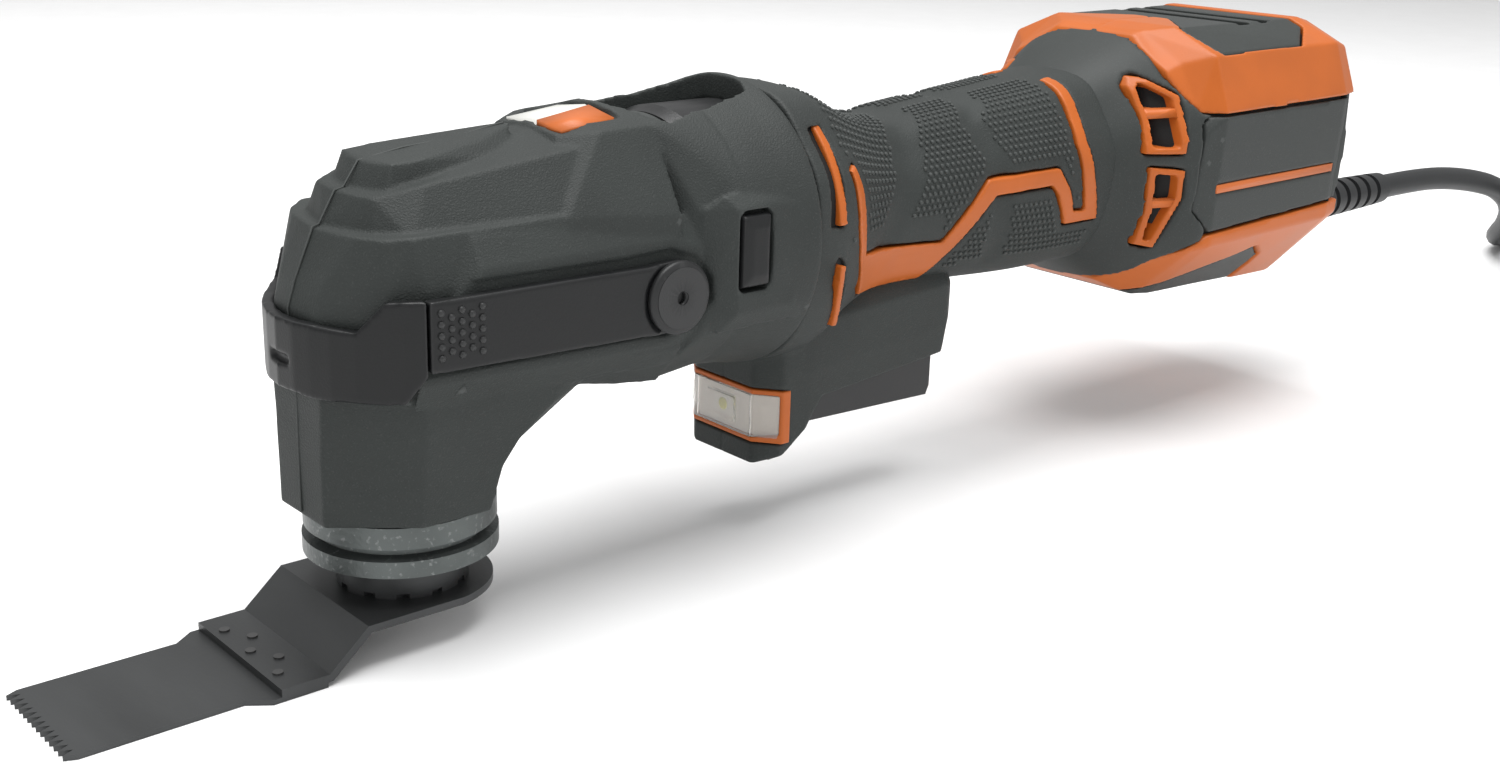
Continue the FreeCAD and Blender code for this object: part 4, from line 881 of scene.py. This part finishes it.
def grip():
    """Rubber grip with raised dots, and the orange line that is let into it."""
    form = built("grip", lambda bm: rounded_grip(bm, 0.0, 91, 188.5))
    cut(form, cutter("strip_groove", [grown(STRIP, 0.45)], 9, FAR),
        cutter("slot_tool", [UPPER_SLOT, LOWER_SLOT], 18, FAR))
    moulded(form, 0.55, 3)
    belongs(form, "handle", rubber, ("grip_sleeve",))

    surface = built("grip_guide", lambda bm: rounded_grip(bm, 0.0, 91, 188.5))
    tree = BVHTree.FromObject(surface, bpy.context.evaluated_depsgraph_get())
    blocked = grown(STRIP, 2.3)

    def dots(bm):
        rows = int(2 * math.pi * GRIP_RADIUS / (DOT_PITCH * DOT_ROWS))
        for row in range(rows):
            angle = 2 * math.pi * row / rows
            aim = Vector((0, math.cos(angle), math.sin(angle)))
            for column in range(int(DOTTED_LENGTH / DOT_PITCH)):
                x = DOTS_START + DOT_PITCH * (column + (0.5 if row % 2 else 0))
                hit, normal, _, _ = tree.ray_cast(Vector((x, 0, AXIS)) * MM, aim, 0.06)
                if hit is not None and not plain_area(hit / MM, blocked):
                    dot(bm, hit / MM, normal)

    studs = built("grip_dots", dots)
    removed(surface)
    belongs(studs, "handle", rubber)

    line = built("grip_line", lambda bm: rounded_grip(bm, 0.4, 91, 186.8, hollows=False))
    kept(line, cutter("strip_shape", [STRIP], 7, FAR))
    moulded(line, 0.4, 2)
    belongs(line, "handle", orange, ("accent_strips",))


def handle_front():
    """Ring behind the head, with its slots, and the pod that carries the lamp and switch."""
    def ring(bm):
        loft(bm, [smooth_ring(HANDLE_SECTIONS, x, place=max(82.2, x)) for x in range(82, 93)])

    def pod(bm):
        faceted(bm, POD_SECTIONS)
        hull(bm, both([(84.6, 8.6, 8), (88, 13.6, 9.2), (84.6, 8.6, 40), (88, 15, 40)]))
        hull(bm, both([(82.5, 9.8, 24.6), (86.8, 15.3, 24.6), (90, 15.4, 24.6),
                       (82.5, 9.6, 40), (86.8, 15.3, 40), (90, 15.4, 40)]))
        hull(bm, both([(82.5, 9.8, 11.9), (86.8, 15.2, 11.9), (90, 15, 11.9),
                       (82.5, 9.8, 7.0), (87.2, 14.4, 9.0), (90, 9.4, 6.7), (85.4, 9.4, 6.7)]))

    form = built("handle_front", lambda bm: (ring(bm), pod(bm)))
    bore = built("mouth", lambda bm: turned(bm, [(80, 0), (80, 26.1), (91, 26.1), (91, 0)]))
    well = built("switch_well", lambda bm: prism(
        bm, squared((96.4, 5), (141.6, 24), 1), "Y", -9.6, 9.6))
    split = built("chin_split", lambda bm: (
        prism(bm, [(80, -0.25), (83.4, -0.25), (83.4, 0.25), (80, 0.25)], "Z", 4, 33),
        prism(bm, [(80, -0.25), (96, -0.25), (96, 0.25), (80, 0.25)], "Z", 4, 7.5)))
    cut(form, bore, well, split, cutter("slot_tool", [UPPER_SLOT, LOWER_SLOT], 18, FAR))
    moulded(form, 0.55, 4)
    belongs(form, "handle", rubber, ("handle_shell_left", "handle_shell_right"))

    # The ring's dark lining is painted shade seen through the slots.
    def lining(bm):
        loft(bm, [smooth_ring(HANDLE_SECTIONS, x, -1.3) for x in range(84, 100)])

    back = built("slot_painted_shade", lining)
    cut(back, built("back_bore", lambda bm: turned(
        bm, [(80, 0), (80, 26.15), (91, 26.15), (91, 0)])))
    belongs(back, "handle", painted_shade)

    def trims(bm):
        for side in (-1, 1):
            rows = []
            for index in range(15):
                z = 82.9 - 18.9 * index / 14
                reach = math.sqrt(max(0, 29.0 ** 2 - (z - AXIS) ** 2))
                rows.append((reach * side, z))
            for (y0, z0), (y1, z1) in zip(rows, rows[1:]):
                hull(bm, [(x, y * k, AXIS + (z - AXIS) * k) for y, z in ((y0, z0), (y1, z1))
                          for x in (87.6, 89.6) for k in (0.92, 1.035)])
            rows = [(88.7, 29.0, 55.4), (88.9, 28.6, 52.2), (91.5, 25.0, 44.4), (93.3, 22.4, 40.2)]
            for (x0, y0, z0), (x1, y1, z1) in zip(rows, rows[1:]):
                hull(bm, [(x + dx, (y + dy) * side, z) for x, y, z in ((x0, y0, z0), (x1, y1, z1))
                          for dx in (-0.4, 1.0) for dy in (-2.5, 0.9)])

    line = moulded(built("slot_trims", trims), 0.35, 2)
    belongs(line, "handle", orange)


def lamp_front():
    """Work light: an orange bezel round a clear faceted lens, with the lamp behind it."""
    face = [(82.3, -9.8), (82.3, 9.8), (86.7, 15.5), (89, 15.5), (89, -15.5), (86.7, -15.5)]
    glass = [(82.0, -9.4), (82.0, 9.4), (85.9, 14.6), (86.9, 14.6), (83.4, 8.9), (83.4, -8.9),
             (86.9, -14.6), (85.9, -14.6)]

    bezel = built("lamp_bezel", lambda bm: prism(bm, face, "Z", 12.2, 24.4))
    hole = built("lamp_hole", lambda bm: (
        hull(bm, both([(80, 9.6, 13.3), (80, 9.6, 23.3), (84.6, 9.6, 13.3), (84.6, 9.6, 23.3)])),
        hull(bm, both([(80, 9.4, 13.3), (80, 9.4, 23.3), (85.8, 14.9, 14.2), (85.8, 14.9, 23.3),
                       (88.6, 13.6, 14.2), (88.6, 13.6, 23.3), (84.6, 9.4, 13.3)]))))
    cut(bezel, hole)
    moulded(bezel, 0.3, 2)
    belongs(bezel, "handle", orange, ("led_bezel",))

    def lens_form(bm):
        prism(bm, glass, "Z", 13.4, 23.2)
        hull(bm, both([(81.6, 4.6, 15.8), (81.6, 4.6, 21.2), (82.6, 5.2, 15.2), (82.6, 5.2, 21.8)]))
        for side in (-1, 1):
            hull(bm, [(x, y * side, z) for x, y, z in (
                (83.3, 11.4, 16.4), (83.3, 11.4, 20.8), (84.9, 13.4, 16.8), (84.9, 13.4, 20.8),
                (84.4, 11.4, 16.0), (86.0, 13.4, 16.4), (84.4, 11.4, 21.2), (86.0, 13.4, 21.2))])

    cover = built("lamp_lens", lens_form)
    moulded(cover, 0.22, 2)
    belongs(cover, "handle", lens, ("led_lens",))

    def back(bm):
        prism(bm, [(83.9, -8.8), (83.9, 8.8), (87.3, 14), (88.3, 14), (88.3, -14), (87.3, -14)],
              "Z", 13.4, 23.4)

    plate = rounded(built("lamp_reflector_plate", back), 0.3)
    belongs(plate, "handle", reflector)

    def chip(bm):
        hull(bm, both([(83.5, 3.2, 16.2), (83.5, 3.2, 20.8), (84, 3.4, 16), (84, 3.4, 21)]))

    belongs(rounded(built("lamp_board", chip), 0.15), "handle", white_label)
    belongs(built("lamp_chip", lambda bm: turned(
        bm, [(83.15, 0), (83.15, 1.2), (83.6, 1.5), (83.6, 0)], centre=(0, 0, 18.5), steps=32)),
        "handle", lamp)


# ---------------------------------------------------------------- motor housing

UPPER_VENT = [(196.4, 86.2), (198.6, 86.0), (205.0, 82.0), (203.2, 68.2), (194.0, 68.4),
              (195.2, 76.0), (194.6, 83.8)]
LOWER_VENT = [(195.4, 65.0), (203.6, 64.2), (204.0, 57.4), (199.6, 44.2), (195.2, 45.2),
              (196.2, 54.0)]
SIDE_PANEL = [(207.2, 53.8), (208.7, 75.4), (210.4, 77.0), (271, 77.6), (271, 49.9), (213.5, 47.6)]
TOP_GUARD = [(206.5, 97), (204.6, 92.6), (204.2, 89), (204.6, 85.5), (206.2, 81.4), (208.7, 77.7),
             (233, 78.0), (276, 78.6), (276, 112), (206.5, 112)]
TOP_PANEL = [(215, -20), (217.5, -31), (252, -31.5), (264, -24), (264, 24), (252, 31.5),
             (217.5, 31), (215, 20), (230, 6), (230, -6)]
LOW_GUARD = [(276, 49.3), (213.4, 46.9), (201.2, 40.2), (196.5, 34), (196.5, 10), (276, 10)]
LOW_PANEL = [(205, 29.5), (219, 33), (243, 39.2), (250, 35.6), (250, 15), (205, 15)]
TOP_LOUVRES = (240, 250)
SLAT_HEIGHT = 2.0
STRIPE = [(213.8, 57.7), (267.4, 58.0), (267.4, 60.1), (213.8, 59.8)]


def skin(name, grow, low=187, high=276):
    """The motor's body, or a length of it, a little larger or smaller."""
    return built(name, lambda bm: faceted(bm, BODY_SECTIONS, grow, low, high))


def sideways(name, outline):
    """A prism of a side outline, right across the tool."""
    return built(name, lambda bm: prism(bm, outline, "Y", -FAR, FAR))


def louvred(name, outline, blades):
    """An orange vent frame let into the shoulder, with slats across it."""
    frame_piece = skin(f"{name}_frame", 0.4, 187, 214)
    kept(frame_piece, cutter("vent_shape", [outline], 12, FAR))
    cut(frame_piece, cutter("vent_hole", [grown(outline, -1.5)], 10, FAR))

    def slats(bm):
        for low, high in blades:
            for side in (-1, 1):
                hull(bm, [(x, y * side, z + rise) for x, z in (low, high)
                          for y in (16, FAR) for rise in (0, SLAT_HEIGHT)])

    bars = built(f"{name}_slats", slats)
    kept(bars, skin("slat_limit", 0.1, 188, 214))
    kept(bars, cutter("slat_shape", [grown(outline, -0.8)], 12, FAR))
    return frame_piece, bars


def shoulder():
    """The smooth grey shoulder behind the grip, and a dark core: painted shade behind all covers."""
    def hump(bm):
        loft(bm, [smooth_ring(BODY_SECTIONS, x, -0.7) for x in range(187, 212)]
             + [smooth_ring(BODY_SECTIONS, x, -1.8) for x in (211.6, 276)])

    shell = built("motor_shell", hump)
    panels = cutter("panel_gap", [grown(SIDE_PANEL, 0.5)], 31, FAR)
    vents = cutter("vent_wells", [grown(UPPER_VENT, 0.4), grown(LOWER_VENT, 0.4)], 17, FAR)
    split = cutter("seams", [[(205.4, 20), (206.2, 20), (206.2, 110), (205.4, 110)]], 34.0, FAR)
    cut(shell, panels, vents, split,
        sideways("guard_room", TOP_GUARD), sideways("low_guard_room", LOW_GUARD))
    moulded(shell, 0.6, 5)
    belongs(shell, "handle", smooth_rubber,
            ("motor_housing_left", "motor_housing_right"))
    # Dark core: painted shade seen through the gaps between the covers.
    belongs(skin("painted_shade_core", -2.2, 200, 275.5), "handle", painted_shade)


def side_covers():
    """Grey side panels with their orange stripes."""
    side = skin("side_panels_cover", -0.4, 205, 272)
    kept(side, cutter("panel_shape", [SIDE_PANEL], 26, FAR))
    cut(side, cutter("stripe_slot", [grown(STRIPE, 0.15)], 35.2, FAR))
    moulded(side, 0.5, 3)
    belongs(side, "handle", hard_grey, ("side_panels",))

    stripe = skin("side_stripes", -0.35, 205, 272)
    kept(stripe, cutter("stripe_shape", [STRIPE], 33, FAR))
    belongs(stripe, "handle", orange)


def upper_guard():
    """Orange guard over the motor, with its grey louvred panel."""
    top = skin("upper_guard", 0.0)
    kept(top, sideways("guard_shape", TOP_GUARD))
    cut(top, built("guard_seam", lambda bm: prism(
        bm, [(190, -0.3), (232, -0.3), (232, 0.3), (190, 0.3)], "Z", 95.6, 110)))
    cut(top, built("panel_well", lambda bm: prism(bm, grown(TOP_PANEL, 0.5), "Z", 84, 120)))
    moulded(top, 0.55, 5)
    belongs(top, "handle", orange, ("top_guard",))

    lid = skin("upper_panel", -0.4)
    kept(lid, built("lid_shape", lambda bm: prism(bm, TOP_PANEL, "Z", 84, 120)))
    cut(lid, built("lid_louvres", lambda bm: [
        prism(bm, [(x, -20), (x + 6, -20), (x + 6, 20), (x, 20)], "Z", 92, 110)
        for x in TOP_LOUVRES]))
    moulded(lid, 0.5, 3)
    belongs(lid, "handle", hard_grey, ("vent_panels",))

    def top_slats(bm):
        for x in TOP_LOUVRES:
            hull(bm, [(x + dx, y, z) for y in (-19.9, 19.9)
                      for dx, z in ((0.5, 91.8), (5.5, 91.8), (3.6, 95.4), (5.0, 95.4))])

    belongs(built("upper_slats", top_slats), "handle", orange)


def lower_guard():
    """Orange guard under the motor, with its grey panels."""
    low = skin("lower_guard", 0.0)
    kept(low, sideways("low_shape", LOW_GUARD))
    cut(low, sideways("low_well", grown(LOW_PANEL, 0.4)))
    moulded(low, 0.55, 5)
    belongs(low, "handle", orange, ("bottom_guard",))

    base = skin("lower_panels", -0.4)
    kept(base, sideways("base_shape", LOW_PANEL))
    moulded(base, 0.5, 3)
    belongs(base, "handle", hard_grey)


def side_vents():
    """Four side vents, and a dark skin behind them: painted shade in their openings."""
    pieces = (louvred("upper_vent", UPPER_VENT, [((193, 76.2), (206, 77.2))]),
              louvred("lower_vent", LOWER_VENT, [((193, 54.2), (206, 55.2))]))
    for index, (surround, bars) in enumerate(pieces):
        moulded(surround, 0.4, 3)
        belongs(surround, "handle", orange, ("vent_frames",) if index == 0 else ())
        belongs(bars, "handle", orange)

    # Dark skin behind the vents: painted shade.
    belongs(skin("vent_painted_shade", -6.5, 190, 212), "handle", painted_shade)


grip()
handle_front()
lamp_front()
shoulder()
side_covers()
upper_guard()
lower_guard()
side_vents()


# ---------------------------------------------------------------- carried-over parts

FINISHES = {
    "saw_blade": blued, "blade_holder": blued, "accessory_flange": blued, "blade_rivets": weld,
    "gear_case": cast, "fork": steel, "spindle": steel, "clamp_spring": steel, "clamp_rod": steel,
    "release_yoke": steel, "lever_pins": black, "eccentric_shaft": steel, "eccentric_bearing": steel,
    "counterweight": steel, "drive_socket": steel, "motor_shaft": steel, "motor_bearings": steel,
    "lower_spindle_bearing": steel, "upper_spindle_bearing": steel, "input_bearing": steel,
    "casing_screws": steel, "head_screws": steel, "trigger_spring": steel, "armature": steel,
    "stator": steel, "commutator": copper, "carbon_brushes": carbon, "brush_holders": black,
    "cooling_fan": black, "switch_body": black, "head_sleeve": black, "trigger": black,
    "led_board": lamp, "rear_cover": hard_grey,
    "cord_boot": cable, "plug_body": cable, "cord_tie": cable, "plug_blades": brass,
}
SOFTENED = {"gear_case": 0.5, "blade_holder": 0.35, "accessory_flange": 0.2, "rear_cover": 0.8,
            "trigger": 0.7, "plug_body": 0.8, "head_sleeve": 0.3,
            "cord_boot": 0.35, "blade_rivets": 0.1}
for name, finish in FINISHES.items():
    part = nodes[name]
    part.data.materials.clear()
    part.data.materials.append(finish)
    for face in part.data.polygons:
        face.material_index = 0
for name, width in SOFTENED.items():
    rounded(nodes[name], width)


# ---------------------------------------------------------------- floor, light and camera

def floor():
    """A plain pale floor under the blade."""
    mesh = bpy.data.meshes.new("studio_floor")
    mesh.from_pydata([(-3, -3, FLOOR * MM), (3.5, -3, FLOOR * MM), (3.5, 3, FLOOR * MM),
                      (-3, 3, FLOOR * MM)], [], [(0, 1, 2, 3)])
    ground = bpy.data.objects.new("studio_floor", mesh)
    bpy.context.collection.objects.link(ground)
    paint = material("studio_white", (0.90, 0.90, 0.90), 0.7, grain=300, depth=0.005, mottle=0.01)
    ground.data.materials.append(paint)


def light(name, place, aim, size, power):
    """A soft rectangular light that faces a point.  Places are in metres."""
    data = bpy.data.lights.new(name, "AREA")
    data.energy = power
    data.shape = "RECTANGLE"
    data.size, data.size_y = size
    made = bpy.data.objects.new(name, data)
    made.location = place
    made.rotation_euler = (Vector(aim) - Vector(place)).to_track_quat("-Z", "Y").to_euler()
    bpy.context.collection.objects.link(made)


floor()
light("overhead", (0.1, 0.0, 1.3), (0.12, 0, 0.05), (1.3, 0.8), 26)
light("front_left", (-1.0, -0.7, 0.5), (0.1, 0, 0.05), (0.8, 0.8), 2)
light("right_side", (0.7, -1.1, 0.6), (0.15, 0, 0.05), (0.8, 0.8), 2)
world = bpy.data.worlds.new("studio")
world.use_nodes = True
world.node_tree.nodes["Background"].inputs["Color"].default_value = (1, 1, 1, 1)
world.node_tree.nodes["Background"].inputs["Strength"].default_value = 0.55
bpy.context.scene.world = world
bpy.context.scene.view_settings.view_transform = "Standard"

camera_data = bpy.data.cameras.new("photograph")
camera_data.lens = 40.88
camera_data.sensor_width = 36
camera_data.clip_start = 0.01
camera = bpy.data.objects.new("photograph", camera_data)
right = Vector((0.74944, -0.66140, 0.02992))
up = Vector((0.18287, 0.25022, 0.95076))
ahead = Vector((0.63632, 0.70706, -0.30847))
camera.matrix_world = Matrix((
    (right.x, up.x, -ahead.x, -0.15580), (right.y, up.y, -ahead.y, -0.27373),
    (right.z, up.z, -ahead.z, 0.14106), (0, 0, 0, 1)))
bpy.context.collection.objects.link(camera)
bpy.context.scene.camera = camera
